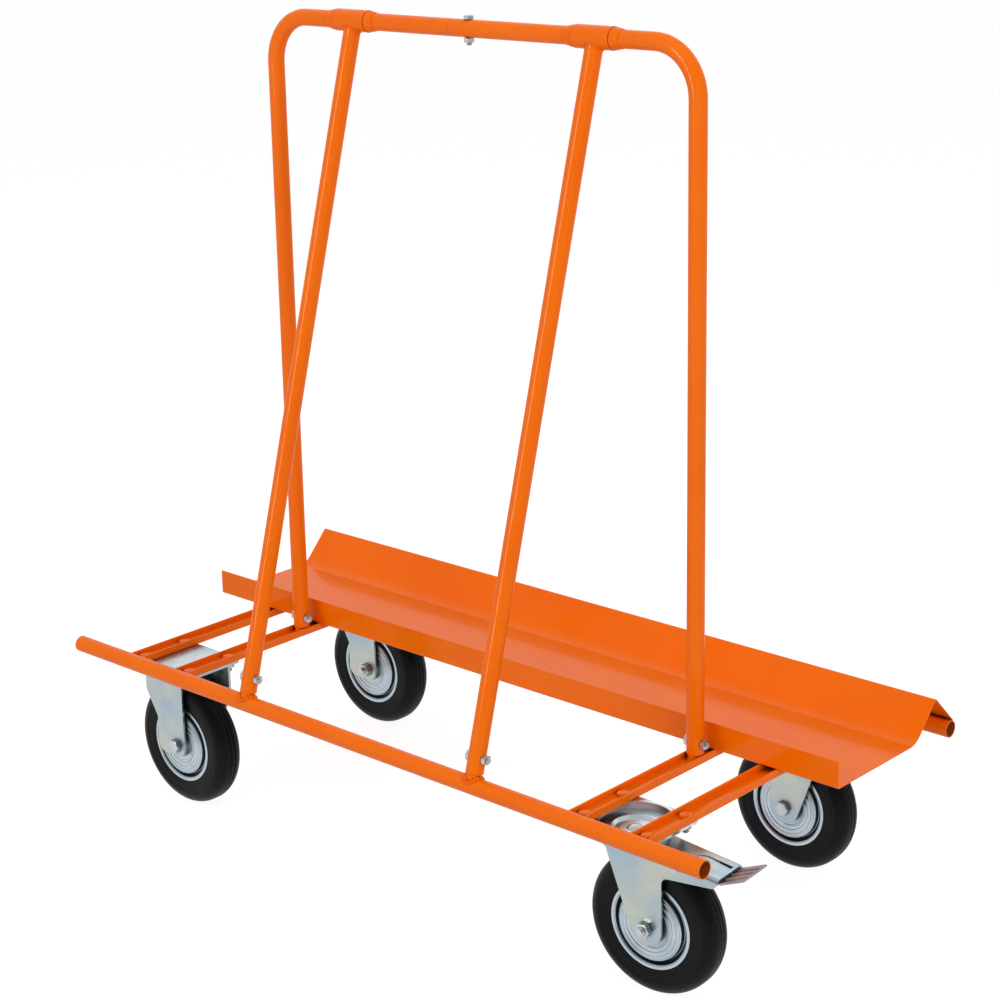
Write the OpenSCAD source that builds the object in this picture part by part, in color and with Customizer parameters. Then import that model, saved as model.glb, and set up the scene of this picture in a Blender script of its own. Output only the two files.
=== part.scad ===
// Drywall cart: a welded base with a bent sheet tray, a bolted tube hoop on two raking legs,
// two rigid casters at the left end and two braked swivel casters at the right end.
// X runs along the tray, -Y is the front rail side and +Z is up. The origin lies on the floor
// under the middle of the base.

/* [Base] */
// Length of the front rail and the rear rail
rail_length = 1240; // [1100:10:1600]
// Distance between the axes of the front rail and the rear rail
rail_spacing = 575; // [540:5:680]
// Height of the rail axes above the underside of the cross bars
rail_lift = 7; // [4:0.5:9]
// Distance from the end of a rail to the outer cross bar
bar_inset = 117; // [100:1:150]
// Width of a cross bar channel
bar_w = 30; // [28:0.5:36]
// Height of a cross bar channel
bar_h = 11; // [9:0.5:15]
// Wall of a cross bar channel
bar_wall = 2.5; // [1.5:0.1:3]
// Distance from the front rail axis to the front casters
front_caster_setback = 73.5; // [72:0.5:90]
// Distance from the rear rail axis to the rear casters
rear_caster_setback = 80; // [72:0.5:95]
// Gap left for the weld where a piece is coped to a round tube
weld_gap = 0.2; // [0.1:0.05:0.4]

/* [Tubes] */
// Outside diameter of the rails, the hoop and the legs
tube_d = 25; // [22:0.5:28]
// Wall of the rails, the hoop and the legs
tube_wall = 1.6; // [1.2:0.1:2.4]
// Radial play between a spigot and the tube slipped over it
spigot_play = 0.25; // [0.1:0.05:0.5]
// Wall of a spigot
spigot_wall = 2; // [1.5:0.1:3]
// Length of a spigot above the foot of its tube
spigot_reach = 70; // [50:1:120]

/* [Tray] */
// Distance from the end of a rail to the end of the tray
tray_inset = 2; // [0:0.5:40]
// Thickness of the tray sheet
sheet = 2; // [1.5:0.1:3]
// Distance from the front rail axis to the face of the front lip
lip_setback = 295; // [270:1:320]
// Height of the front lip above the underside of the tray
lip_height = 40; // [25:1:70]
// Depth of the flat floor up to the crease of the back slope
floor_depth = 192; // [150:1:210]
// Horizontal run of the back slope
back_run = 49; // [40:1:60]
// Rise of the ridge above the underside of the tray
back_rise = 54; // [40:1:80]
// Bend radius between the floor and the back slope
back_bend_r = 34; // [15:1:45]
// Bend radius of the front lip and of the ridge
crease_r = 2.5; // [2:0.1:5]

/* [Hoop] */
// Distance from the hoop to the face of the tray lip in plan
hoop_gap = 24; // [18:0.5:40]
// Rise of the top bar axis above the cross bars
hoop_rise = 973; // [700:1:1200]
// Bend radius of the hoop corners
hoop_bend_r = 70; // [60:1:100]
// Gap between the foot of an upright and its cross bar
foot_gap = 0.8; // [0.3:0.1:0.9]
// Height of the cross bolt above the foot of its tube
foot_bolt_rise = 16; // [12:0.5:30]
// Distance of the hoop seam to the left of the top bolt
seam_offset = 30; // [20:1:60]
// Gap at the hoop seam
seam_gap = 0.5; // [0.2:0.1:0.8]
// Reach of the splice tube past the seam and past the top bolt
splice_reach = 40; // [25:1:80]

/* [Legs] */
// Distance from an upright of the hoop to its leg
leg_inset = 170; // [160:1:240]
// Clearance between the lower end of a leg and the front rail
leg_foot_gap = 5; // [3:0.5:10]
// Height of the cross bolt above the lower end of a leg
leg_bolt_rise = 22; // [14:0.5:35]
// Outside diameter of the sleeve that hangs on the top bar
sleeve_d = 32; // [30:0.5:38]
// Length of the sleeve
sleeve_length = 64; // [45:1:90]
// Radial play of the sleeve on the top bar
sleeve_play = 0.5; // [0.2:0.1:0.8]
// Length of a stop collar beside the sleeve
collar_length = 14; // [8:0.5:20]
// Height of a stop collar above the top bar at the sleeve
collar_rise = 2.6; // [1.5:0.1:3]
// Gap between a stop collar and the sleeve
collar_gap = 1.1; // [0.8:0.1:1.4]

/* [Casters] */
// Diameter of the wheels
wheel_d = 200; // [160:2:220]
// Width of the tyres
tyre_w = 46; // [40:1:50]
// Distance of the axle behind the king pin
trail = 37; // [30:0.5:45]
// Angle at which the front swivel caster stands
front_swivel = 4.7; // [0:0.1:10]
// Angle at which the rear swivel caster stands
rear_swivel = 180; // [175:0.5:185]
// Clearance between the tyre and the crown of the fork
tyre_gap = 9; // [7:0.5:15]
// Inside width of the fork
fork_inside = 55; // [53:0.5:58]
// Thickness of the fork sheet
fork_t = 3.5; // [3:0.1:4.5]
// Height of the ball race between crown and plate
race_gap = 9.5; // [8:0.5:11]
// Length of a caster plate
plate_l = 135; // [130:1:145]
// Width of a caster plate
plate_w = 110; // [108:1:118]
// Thickness of a caster plate
plate_t = 4; // [3:0.1:5]
// Distance of the plate's bolt holes from its edges
hole_inset = 15; // [14:0.5:16.5]
// Depth of the dish in a swivel plate
dish_depth = 10; // [7:0.5:14]
// Diameter of the axle bolts
axle_d = 12; // [10:0.5:14]
// Diameter of the king pins
king_d = 16; // [14:0.5:18]
// Running clearance of a turning fit
run_fit = 0.06; // [0.03:0.01:0.09]

/* [Brakes] */
// Distance of the brake pivot behind the king pin
brake_pivot_x = 82; // [80:0.5:86]
// Height of the brake pivot below the top of the fork crown
brake_pivot_drop = 14.5; // [14:0.5:16]
// Width of the brake lever
lever_w = 48; // [40:1:50]
// Thickness of the brake lever
lever_t = 3; // [2:0.1:3.5]
// Reach of the pedal tip behind the king pin
pedal_reach = 183; // [170:1:188]
// Gap between the released brake shoe and the tyre
shoe_gap = 3.2; // [3.2:0.1:5]

/* [Hidden] */
$fn = 64;
// One overrun serves every through cut
overrun = 1;
// Gap between faces that turn past each other
face_gap = 0.3;
// Length by which a run of sheet reaches into the next one
bend_lap = 0.05;

// Fasteners
frame_bolt_d = 8;
frame_nut_af = 13;
frame_nut_h = 6.5;
frame_head_d = 17;
frame_head_h = 4.5;
frame_hex_h = 5.5;
frame_tail = 4;
plate_bolt_d = 10;
plate_nut_af = 16;
plate_nut_h = 8;
plate_head_h = 5;
plate_tail = 7;
axle_nut_af = 19;
axle_nut_h = 10;
axle_head_h = 7.5;
axle_tail = 6;
hole_play = 0.25;
thread_play = 0.1;
press_gap = 0.05;
hex_share = 1 / sqrt(3);

// Tubes and base
tube_r = tube_d / 2;
bore_r = tube_r - tube_wall;
spigot_r = bore_r - spigot_play;
front_y = -rail_spacing / 2;
rear_y = rail_spacing / 2;

// Caster heights, from the floor up
wheel_r = wheel_d / 2;
axle_z = wheel_r;
crown_under = wheel_d + tyre_gap;
crown_z = crown_under + fork_t;
race_z = crown_z + race_gap;
dish_z = race_z + plate_t;
plate_z = dish_z + dish_depth;
plate_under = plate_z - plate_t;

// Base heights
rail_z = plate_z + rail_lift;
bar_top = plate_z + bar_h;
web_top = plate_z + bar_wall;
foot_z = bar_top + foot_gap;
top_z = bar_top + hoop_rise;

// Places in plan
lip_y = front_y + lip_setback;
hoop_y = lip_y - hoop_gap;
hole_pitch_x = plate_l - 2 * hole_inset;
hole_pitch_y = plate_w - 2 * hole_inset;
outer_bar_x = rail_length / 2 - bar_inset;
inner_bar_x = outer_bar_x - hole_pitch_x;
caster_x = outer_bar_x - hole_pitch_x / 2;
leg_x = inner_bar_x - leg_inset;
tray_length = rail_length - 2 * tray_inset;
front_caster_y = front_y + front_caster_setback;
rear_caster_y = rear_y - rear_caster_setback;

// Legs
leg_rake = atan2(hoop_y - front_y, top_z - rail_z);
leg_span = norm([hoop_y - front_y, top_z - rail_z]);
leg_foot = tube_r + leg_foot_gap;
sleeve_r = sleeve_d / 2;
collar_land = 4;
collar_tip = 0.6;

// Fork
fork_in = fork_inside / 2;
fork_out = fork_in + fork_t;
fork_bend_r = 7;
crown_r = 48;
crown_rim_t = 3;
crown_rim_h = 6;
leg_end_r = 24;
leg_front_x = 31;
leg_rear_x = trail + leg_end_r;
hood_knee_x = 46;
hood_end_x = 146;
hood_fall = 13;
hood_angle = atan2(hood_fall, hood_end_x - hood_knee_x);
hood_end_z = crown_z - hood_fall;
hood_end_h = 13;
hood_end_cut = 7;
hood_root_h = 33;
hood_fillet_r = 9;
panel_start = 47;
panel_length = 50;
panel_half = 15;
panel_depth = 0.8;
panel_fall = 1.7;
panel_angle = atan2(panel_fall, panel_length);
slot_length = 21;
slot_w = 2;

// Rigid bracket
rigid_front_x = 19;
rigid_rear_x = 42;
rigid_foot_drop = 18;
rigid_foot_r = 15;
rigid_knee_rise = 39;
rigid_top_x = 66;
rigid_top_rise = 80;

// Swivel plate and king pin
plate_corner_r = 12;
dish_foot_r = 48.5;
dish_slope = 2.5;
dish_wall = 3.5;
dish_step_r = 27;
dish_step = 4;
king_r = king_d / 2;
king_head_r = 12;
king_head_h = 5;
king_foot_r = 13;
king_foot_h = 4.5;
ball_count = 18;
ball_ring_r = 40;
ball_r = race_gap / 2 - face_gap;

// Wheel
tyre_depth = 38;
rim_r = wheel_r - tyre_depth;
rim_sheet = 2.4;
rim_edge = 1.6;
rim_flange_h = 4;
rim_flange_inset = 2.2;
rim_groove_w = 6.2;
rim_groove_d = 7.4;
rim_seat_r = rim_r - rim_flange_h;
rim_flange_a = tyre_w / 2 - rim_flange_inset;
rim_groove_a = rim_flange_a - rim_groove_d;
disc_inset = 0.5;
disc_a = tyre_w / 2 - disc_inset;
disc_r = rim_seat_r - rim_sheet - rim_groove_w;
hub_r = 18;
disc_band = disc_r - hub_r;
disc_rib_w_share = 0.1;
disc_rib_top_share = 0.04;
disc_rib_w = disc_rib_w_share * disc_band;
disc_rib_top_w = disc_rib_top_share * disc_band;
disc_rib_h = 1;
disc_rib_shares = [0.38, 0.61, 0.84];
spacer_r = 10;
tyre_shoulder_r = 19;
tyre_belly_r = wheel_r - tyre_shoulder_r;
groove_a = 3.5;
groove_w = 1.4;
groove_d = 1.2;

// Brake
brake_z = crown_z - brake_pivot_drop;
brake_pin_r = 3;
brake_pin_head_r = 5;
brake_pin_head_h = 2;
lever_barrel_r = 5.2;
lever_root_clear = 1;
lever_root_drop = 18.7;
pedal_rise = 15;
pedal_w = 55;
pedal_rib_r = 1.5;
pedal_rib_pitch = 15;
pedal_rib_inset = 3;
shoe_angle = 53;
shoe_t = 5;
shoe_w = 34;
shoe_l = 16;
shoe_arm_x = 104;

// Colours
paint = "darkorange";
zinc = "lightsteelblue";
rubber = "dimgray";
pedal_steel = "rosybrown";

// Helpers

function unit(v) = v / norm(v);

// Turning angle of a path at its point b
function turn(a, b, c) =
    let (u = unit(b - a), v = unit(c - b))
    atan2(cross(u, v), u * v);

// Length that a bend of radius r takes from each side of its corner b
function setback(a, b, c, r) = r * tan(abs(turn(a, b, c)) / 2);

// Point where a line from p touches a circle round c; side picks one of the two
function tangent_point(p, c, r, side) =
    let (d = p - c, angle = atan2(d.y, d.x) + side * acos(r / norm(d)))
    c + r * [cos(angle), sin(angle)];

// Flat strip of width w along p to q
module strip(p, q, w) {
    along = q - p;
    translate(p)
        rotate(atan2(along.y, along.x))
            translate([0, -w / 2])
                square([norm(along), w]);
}

// Round bend of a strip at corner b, with radius r at its middle line
module strip_bend(a, b, c, r, w) {
    cut = setback(a, b, c, r);
    start = b + unit(a - b) * cut;
    end = b + unit(c - b) * cut;
    middle = b + unit(unit(a - b) + unit(c - b)) * norm([cut, r]);
    intersection() {
        translate(middle)
            difference() {
                circle(r = r + w / 2);
                circle(r = r - w / 2);
            }
        polygon([middle, 2 * start - middle, 2 * b - middle + start - middle, 2 * end - middle]);
    }
}

// Bent strip along a path, with one bend radius for each inner point
module bent_strip(path, radii, w) {
    last = len(path) - 1;
    cuts = [for (i = [0 : last])
        i == 0 || i == last ? 0 : setback(path[i - 1], path[i], path[i + 1], radii[i - 1]) - bend_lap];
    for (i = [0 : last - 1]) {
        along = unit(path[i + 1] - path[i]);
        strip(path[i] + along * cuts[i], path[i + 1] - along * cuts[i + 1], w);
    }
    for (i = [1 : last - 1])
        strip_bend(path[i - 1], path[i], path[i + 1], radii[i - 1], w);
}

// Rectangle with round corners, centred
module round_rect(l, w, r) {
    square([l - 2 * r, w], center = true);
    square([l, w - 2 * r], center = true);
    for (sx = [-1, 1], sy = [-1, 1])
        translate([sx * (l / 2 - r), sy * (w / 2 - r)])
            circle(r = r);
}

// Drawing in X and Z, made w wide across Y
module across(w) {
    rotate([90, 0, 0])
        linear_extrude(height = w, center = true)
            children();
}

module x_cylinder(r, l) {
    rotate([0, 90, 0])
        cylinder(r = r, h = l, center = true);
}

module y_cylinder(r, l) {
    rotate([90, 0, 0])
        cylinder(r = r, h = l, center = true);
}

module hex_prism(af, h) {
    cylinder(r = af * hex_share, h = h, $fn = 6);
}

module hex_nut(af, h, d) {
    difference() {
        hex_prism(af, h);
        translate([0, 0, -overrun])
            cylinder(r = d / 2 + thread_play, h = h + 2 * overrun);
    }
}

// Domed bolt head that stands on the plane z = 0
module dome_head(d, h) {
    ball = (d * d / 4 + h * h) / (2 * h);
    intersection() {
        translate([0, 0, h - ball])
            sphere(r = ball);
        cylinder(r = d, h = h);
    }
}

// Base frame

module rail(y) {
    translate([0, y, rail_z])
        difference() {
            x_cylinder(tube_r, rail_length);
            x_cylinder(bore_r, rail_length + 2 * overrun);
        }
}

module rail_cope(y) {
    translate([0, y, rail_z])
        x_cylinder(tube_r + weld_gap, rail_length);
}

// Open-topped channel from rail to rail, drilled for the two casters that it carries
module cross_bar(x) {
    difference() {
        translate([x, 0, plate_z])
            difference() {
                translate([-bar_w / 2, front_y, 0])
                    cube([bar_w, rail_spacing, bar_h]);
                translate([bar_wall - bar_w / 2, front_y - overrun, bar_wall])
                    cube([bar_w - 2 * bar_wall, rail_spacing + 2 * overrun, bar_h]);
            }
        rail_cope(front_y);
        rail_cope(rear_y);
        for (y = [front_caster_y, rear_caster_y], side = [-1, 1])
            translate([x, y + side * hole_pitch_y / 2, plate_z - overrun])
                cylinder(r = plate_bolt_d / 2 + hole_play, h = bar_wall + 2 * overrun);
    }
}

// Middle line of the tray sheet: lip, floor, back slope, and rear flange down to the rear rail
function tray_path() =
    let (
        half = sheet / 2,
        ridge = [lip_y + floor_depth + back_run, bar_top + back_rise - half],
        seat = tangent_point(ridge, [rear_y, rail_z], tube_r + weld_gap + half, -1)
    ) [
        [lip_y + half, bar_top + lip_height],
        [lip_y + half, bar_top + half],
        [lip_y + floor_depth, bar_top + half],
        ridge,
        seat
    ];

// Hoop and legs

module hoop_spigot(side) {
    h = foot_z - web_top + spigot_reach;
    translate([side * inner_bar_x, hoop_y, web_top])
        difference() {
            cylinder(r = spigot_r, h = h);
            translate([0, 0, -overrun])
                cylinder(r = spigot_r - spigot_wall, h = h + 2 * overrun);
            translate([0, 0, foot_z - web_top + foot_bolt_rise])
                x_cylinder(frame_bolt_d / 2 + hole_play, tube_d);
        }
}

// Half of the hoop as a solid run of radius r; more lengthens both of its ends
module hoop_run(side, r, more) {
    corner_x = inner_bar_x - hoop_bend_r;
    bar_l = corner_x + side * seam_offset - seam_gap / 2 + more;
    translate([0, hoop_y, 0])
        rotate([0, 0, side > 0 ? 0 : 180]) {
            translate([inner_bar_x, 0, foot_z - more])
                cylinder(r = r, h = top_z - hoop_bend_r - foot_z + more);
            translate([corner_x, 0, top_z - hoop_bend_r])
                rotate([90, 0, 0])
                    rotate_extrude(angle = 90)
                        translate([hoop_bend_r, 0])
                            circle(r = r);
            translate([corner_x - bar_l / 2, 0, top_z])
                x_cylinder(r, bar_l);
        }
}

module hoop_half(side) {
    difference() {
        hoop_run(side, tube_r, 0);
        hoop_run(side, bore_r, overrun);
        translate([side * inner_bar_x, hoop_y, foot_z + foot_bolt_rise])
            x_cylinder(frame_bolt_d / 2 + hole_play, tube_d + 2 * overrun);
        translate([0, hoop_y, top_z])
            cylinder(r = frame_bolt_d / 2 + hole_play, h = tube_d + 2 * overrun, center = true);
    }
}

// Frame of a leg: its Z runs from the axis of the front rail to the axis of the top bar
module raked(side) {
    translate([side * leg_x, front_y, rail_z])
        rotate([-leg_rake, 0, 0])
            children();
}

module leg_bolt_hole() {
    translate([0, 0, leg_foot + leg_bolt_rise])
        x_cylinder(frame_bolt_d / 2 + hole_play, tube_d + 2 * overrun);
}

module leg_spigot(side) {
    raked(side)
        difference() {
            cylinder(r = spigot_r, h = leg_foot + spigot_reach);
            cylinder(r = spigot_r - spigot_wall, h = leg_foot + spigot_reach + overrun);
            x_cylinder(tube_r + weld_gap, tube_d);
            leg_bolt_hole();
        }
}

module leg(side) {
    raked(side)
        difference() {
            translate([0, 0, leg_foot])
                cylinder(r = tube_r, h = leg_span - leg_foot);
            translate([0, 0, leg_foot - overrun])
                cylinder(r = bore_r, h = leg_span - leg_foot + 2 * overrun);
            translate([0, 0, leg_span])
                x_cylinder(sleeve_r + weld_gap, sleeve_length);
            leg_bolt_hole();
        }
}

module sleeve(side) {
    translate([side * leg_x, hoop_y, top_z])
        difference() {
            x_cylinder(sleeve_r, sleeve_length);
            x_cylinder(tube_r + sleeve_play, sleeve_length + 2 * overrun);
        }
}

// Ring that keeps a sleeve in its place, thick beside the sleeve and tapered away from it
module stop_collar(x, outward) {
    inner = tube_r + weld_gap;
    outer = tube_r + collar_rise;
    translate([x, hoop_y, top_z])
        rotate([0, outward * 90, 0])
            translate([0, 0, sleeve_length / 2 + collar_gap])
                rotate_extrude()
                    polygon([
                        [inner, 0],
                        [outer, 0],
                        [outer, collar_land],
                        [tube_r + collar_tip, collar_length],
                        [inner, collar_length]
                    ]);
}

// Places of the frame bolts: Z points from the head to the nut
module at_frame_bolts() {
    for (side = [-1, 1]) {
        translate([side * inner_bar_x, hoop_y, foot_z + foot_bolt_rise])
            rotate([0, 90, 0])
                children();
        raked(side)
            translate([0, 0, leg_foot + leg_bolt_rise])
                rotate([0, 90, 0])
                    children();
    }
}

module at_top_bolt() {
    translate([0, hoop_y, top_z])
        rotate([180, 0, 0])
            children();
}

module frame_shank() {
    translate([0, 0, -tube_r - weld_gap])
        cylinder(r = frame_bolt_d / 2, h = tube_d + 2 * weld_gap + frame_nut_h + frame_tail);
}

module frame_nut() {
    translate([0, 0, tube_r + weld_gap])
        hex_nut(frame_nut_af, frame_nut_h, frame_bolt_d);
}

// Casters, each drawn with its mount axis on Z and its wheel trailing along X

module at_front_left() {
    translate([-caster_x, front_caster_y, 0])
        children();
}

module at_rear_left() {
    translate([-caster_x, rear_caster_y, 0])
        rotate([0, 0, 180])
            children();
}

module at_front_right() {
    translate([caster_x, front_caster_y, 0])
        children();
}

module at_rear_right() {
    translate([caster_x, rear_caster_y, 0])
        children();
}

module front_turned() {
    at_front_right()
        rotate([0, 0, front_swivel])
            children();
}

module rear_turned() {
    at_rear_right()
        rotate([0, 0, rear_swivel])
            children();
}

module at_plate_holes() {
    for (sx = [-1, 1], sy = [-1, 1])
        translate([sx * hole_pitch_x / 2, sy * hole_pitch_y / 2, 0])
            children();
}

module at_casters() {
    for (x = [-caster_x, caster_x], y = [front_caster_y, rear_caster_y])
        translate([x, y, 0])
            children();
}

module plate_holes() {
    at_plate_holes()
        translate([0, 0, plate_under - overrun])
            cylinder(r = plate_bolt_d / 2 + hole_play, h = plate_t + 2 * overrun);
}

// Outline of a rigid bracket's leg in X and Z: round lower corners, flared to one side under the plate
module rigid_leg() {
    foot_z = axle_z - rigid_foot_drop;
    polygon([
        [rigid_foot_r - rigid_rear_x, foot_z],
        [rigid_front_x - rigid_foot_r, foot_z],
        [rigid_front_x, foot_z + rigid_foot_r],
        [rigid_front_x, plate_under],
        [-rigid_top_x, plate_under],
        [-rigid_top_x, axle_z + rigid_top_rise],
        [-rigid_rear_x, axle_z + rigid_knee_rise],
        [-rigid_rear_x, foot_z + rigid_foot_r]
    ]);
    for (x = [rigid_foot_r - rigid_rear_x, rigid_front_x - rigid_foot_r])
        translate([x, foot_z + rigid_foot_r])
            circle(r = rigid_foot_r);
}

module rigid_bracket() {
    difference() {
        union() {
            translate([0, 0, plate_under])
                linear_extrude(height = plate_t)
                    round_rect(plate_l, plate_w, plate_corner_r);
            for (angle = [0, 180])
                rotate([0, 0, angle])
                    translate([0, -(fork_in + fork_t / 2), 0])
                        across(fork_t)
                            rigid_leg();
        }
        plate_holes();
        translate([0, 0, axle_z])
            y_cylinder(axle_d / 2 + hole_play, plate_w);
    }
}

// Pressed plate with a stepped dish that holds the upper ball race
module swivel_plate() {
    rim = dish_foot_r + dish_slope;
    bore = king_r + press_gap;
    difference() {
        union() {
            translate([0, 0, plate_under])
                linear_extrude(height = plate_t)
                    difference() {
                        round_rect(plate_l, plate_w, plate_corner_r);
                        circle(r = rim + dish_wall / 2);
                    }
            rotate_extrude()
                polygon([
                    [bore, dish_z - dish_step],
                    [dish_step_r, dish_z - dish_step],
                    [dish_step_r + dish_step, dish_z],
                    [dish_foot_r, dish_z],
                    [rim, plate_z],
                    [rim + dish_wall, plate_z],
                    [rim + dish_wall, plate_under],
                    [dish_foot_r + dish_wall, race_z],
                    [dish_step_r + dish_step + dish_wall, race_z],
                    [dish_step_r + dish_wall, race_z - dish_step],
                    [bore, race_z - dish_step]
                ]);
        }
        plate_holes();
    }
}

module king_pin() {
    top = dish_z - dish_step;
    foot = crown_under - face_gap;
    translate([0, 0, top])
        dome_head(2 * king_head_r, king_head_h);
    translate([0, 0, foot])
        cylinder(r = king_r, h = top - foot);
    translate([0, 0, foot - king_foot_h])
        cylinder(r = king_foot_r, h = king_foot_h);
}

module race_balls() {
    for (i = [0 : ball_count - 1])
        rotate([0, 0, i * 360 / ball_count])
            translate([ball_ring_r, 0, crown_z + race_gap / 2])
                sphere(r = ball_r);
}

// Side of the fork in X and Z: a raked leg with a round end, and the hood behind it
module fork_side() {
    axle = [trail, axle_z];
    front = [-leg_front_x, crown_z];
    root_z = crown_z - hood_root_h;
    polygon([
        front,
        tangent_point(front, axle, leg_end_r, 1),
        axle,
        [leg_rear_x, axle.y],
        [leg_rear_x, root_z],
        [hood_end_x - hood_end_cut, hood_end_z - hood_end_h],
        [hood_end_x, hood_end_z - hood_end_cut],
        [hood_end_x, hood_end_z],
        [hood_knee_x, crown_z]
    ]);
    translate(axle)
        circle(r = leg_end_r);
    difference() {
        translate([leg_rear_x, root_z - hood_fillet_r])
            square(hood_fillet_r);
        translate([leg_rear_x + hood_fillet_r, root_z - hood_fillet_r])
            circle(r = hood_fillet_r);
    }
}

// Arch in Y and Z with round upper corners
module arch(half, top, r) {
    translate([-half, 0])
        square([2 * half, top - r]);
    translate([r - half, 0])
        square([2 * (half - r), top]);
    for (side = [-1, 1])
        translate([side * (half - r), top - r])
            circle(r = r);
}

// Arch drawn l long over X, about its middle
module arch_run(half, top, r, l) {
    rotate([90, 0, 90])
        linear_extrude(height = l, center = true)
            arch(half, top, r);
}

// Arch that is level over the crown and falls along the hood, with a mitre at the knee
module fork_arch(half, drop, r) {
    l = 2 * (hood_end_x + overrun);
    intersection() {
        arch_run(half, crown_z - drop, r, l);
        translate([hood_knee_x, 0, crown_z])
            rotate([0, hood_angle, 0])
                translate([0, 0, -crown_z])
                    arch_run(half, crown_z - drop, r, l);
    }
}

// Cut for the panel in the hood's top, which falls towards its end, and for the slots beside it
module hood_panel() {
    slot_y = panel_half - slot_w / 2;
    translate([hood_knee_x, 0, crown_z])
        rotate([0, hood_angle, 0])
            translate([panel_start, 0, -panel_depth]) {
                rotate([0, panel_angle, 0])
                    linear_extrude(height = fork_t) {
                        translate([panel_half, 0])
                            circle(r = panel_half);
                        translate([panel_half, -panel_half])
                            square([panel_length - panel_half, 2 * panel_half]);
                    }
                for (side = [-1, 1])
                    translate([panel_length - slot_length / 2, side * slot_y, 0])
                        cube([slot_length, slot_w, 2 * (fork_t + overrun)], center = true);
            }
}

module fork() {
    difference() {
        union() {
            intersection() {
                across(2 * crown_r)
                    fork_side();
                fork_arch(fork_out, 0, fork_bend_r);
            }
            translate([0, 0, crown_under])
                cylinder(r = crown_r, h = fork_t);
            translate([0, 0, crown_z])
                difference() {
                    cylinder(r = crown_r, h = crown_rim_h);
                    cylinder(r = crown_r - crown_rim_t, h = crown_rim_h + overrun);
                }
        }
        fork_arch(fork_in, fork_t, fork_bend_r - fork_t);
        hood_panel();
        translate([0, 0, crown_under - overrun])
            cylinder(r = king_r + run_fit, h = fork_t + 2 * overrun);
        translate([trail, 0, axle_z])
            y_cylinder(axle_d / 2 + hole_play, 2 * fork_out + 2 * overrun);
        translate([brake_pivot_x, 0, brake_z])
            y_cylinder(brake_pin_r + hole_play, 2 * fork_out + 2 * overrun);
    }
}

// Wheel pieces, drawn at the wheel's centre with the axle along Y

module at_wheel(behind) {
    translate([behind, 0, axle_z])
        children();
}

module turned_y() {
    rotate([90, 0, 0])
        rotate_extrude()
            children();
}

// Outline of a ring-shaped rib at radius r of the disc
function rib_points(r) = [
    [r - disc_rib_w / 2, disc_a],
    [r - disc_rib_top_w / 2, disc_a + disc_rib_h],
    [r + disc_rib_top_w / 2, disc_a + disc_rib_h],
    [r + disc_rib_w / 2, disc_a]
];

function reversed(points) = [for (i = [len(points) - 1 : -1 : 0]) points[i]];
function flipped(points) = [for (p = points) [p.x, -p.y]];

// Rim in section: two discs with their ribs, and between them the grooves, the seat and the flanges
module rim() {
    hub_edge = hub_r + press_gap;
    seat_in = rim_seat_r - rim_sheet;
    outer = [
        [hub_edge, disc_a],
        for (share = disc_rib_shares)
            each rib_points(hub_r + share * disc_band),
        [disc_r - rim_edge, disc_a],
        [disc_r, disc_a - rim_edge],
        [disc_r, rim_groove_a],
        [seat_in, rim_groove_a],
        [seat_in, rim_flange_a - rim_edge],
        [seat_in + rim_edge, rim_flange_a],
        [rim_r, rim_flange_a],
        [rim_r, rim_flange_a - rim_sheet],
        [rim_seat_r, rim_flange_a - rim_sheet]
    ];
    inner = [
        [hub_edge, disc_a - rim_sheet],
        [disc_r - rim_sheet, disc_a - rim_sheet],
        [disc_r - rim_sheet, rim_groove_a - rim_sheet],
        [seat_in, rim_groove_a - rim_sheet]
    ];
    turned_y()
        polygon([
            each outer,
            each flipped(reversed(outer)),
            each flipped(inner),
            each reversed(inner)
        ]);
}

module hub() {
    l = fork_inside - 2 * face_gap;
    difference() {
        y_cylinder(hub_r, l);
        y_cylinder(spacer_r + run_fit, l + 2 * overrun);
    }
}

module spacer() {
    difference() {
        y_cylinder(spacer_r, fork_inside);
        y_cylinder(axle_d / 2 + hole_play, fork_inside + 2 * overrun);
    }
}

// Tyre in section: seat between the rim flanges, side walls, round shoulders and two tread grooves
module tyre() {
    half = tyre_w / 2;
    seat_a = rim_flange_a - rim_sheet - press_gap;
    foot_r = rim_r + press_gap;
    turned_y()
        difference() {
            union() {
                translate([rim_seat_r + press_gap, -seat_a])
                    square([wheel_r - rim_seat_r - tyre_shoulder_r, 2 * seat_a]);
                polygon([
                    [foot_r, -rim_flange_a],
                    [tyre_belly_r, -half],
                    [tyre_belly_r, half],
                    [foot_r, rim_flange_a]
                ]);
                translate([tyre_belly_r, tyre_shoulder_r - half])
                    square([tyre_shoulder_r, tyre_w - 2 * tyre_shoulder_r]);
                for (side = [-1, 1])
                    translate([tyre_belly_r, side * (half - tyre_shoulder_r)])
                        circle(r = tyre_shoulder_r);
            }
            for (side = [-1, 1])
                translate([wheel_r - groove_d, side * groove_a - groove_w / 2])
                    square([groove_d + overrun, groove_w]);
        }
}

// Turn so that Z points along the axle, to +Y for a head at the back and to -Y for one in front
module axle_way(head) {
    rotate([head > 0 ? -90 : 90, 0, 0])
        children();
}

module axle_bolt(head) {
    axle_way(head) {
        translate([0, 0, fork_out])
            hex_prism(axle_nut_af, axle_head_h);
        translate([0, 0, -fork_out - axle_nut_h - axle_tail])
            cylinder(r = axle_d / 2, h = 2 * fork_out + axle_nut_h + axle_tail);
    }
}

module axle_nut(head) {
    axle_way(head)
        translate([0, 0, -fork_out - axle_nut_h])
            hex_nut(axle_nut_af, axle_nut_h, axle_d);
}

// Brake

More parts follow.
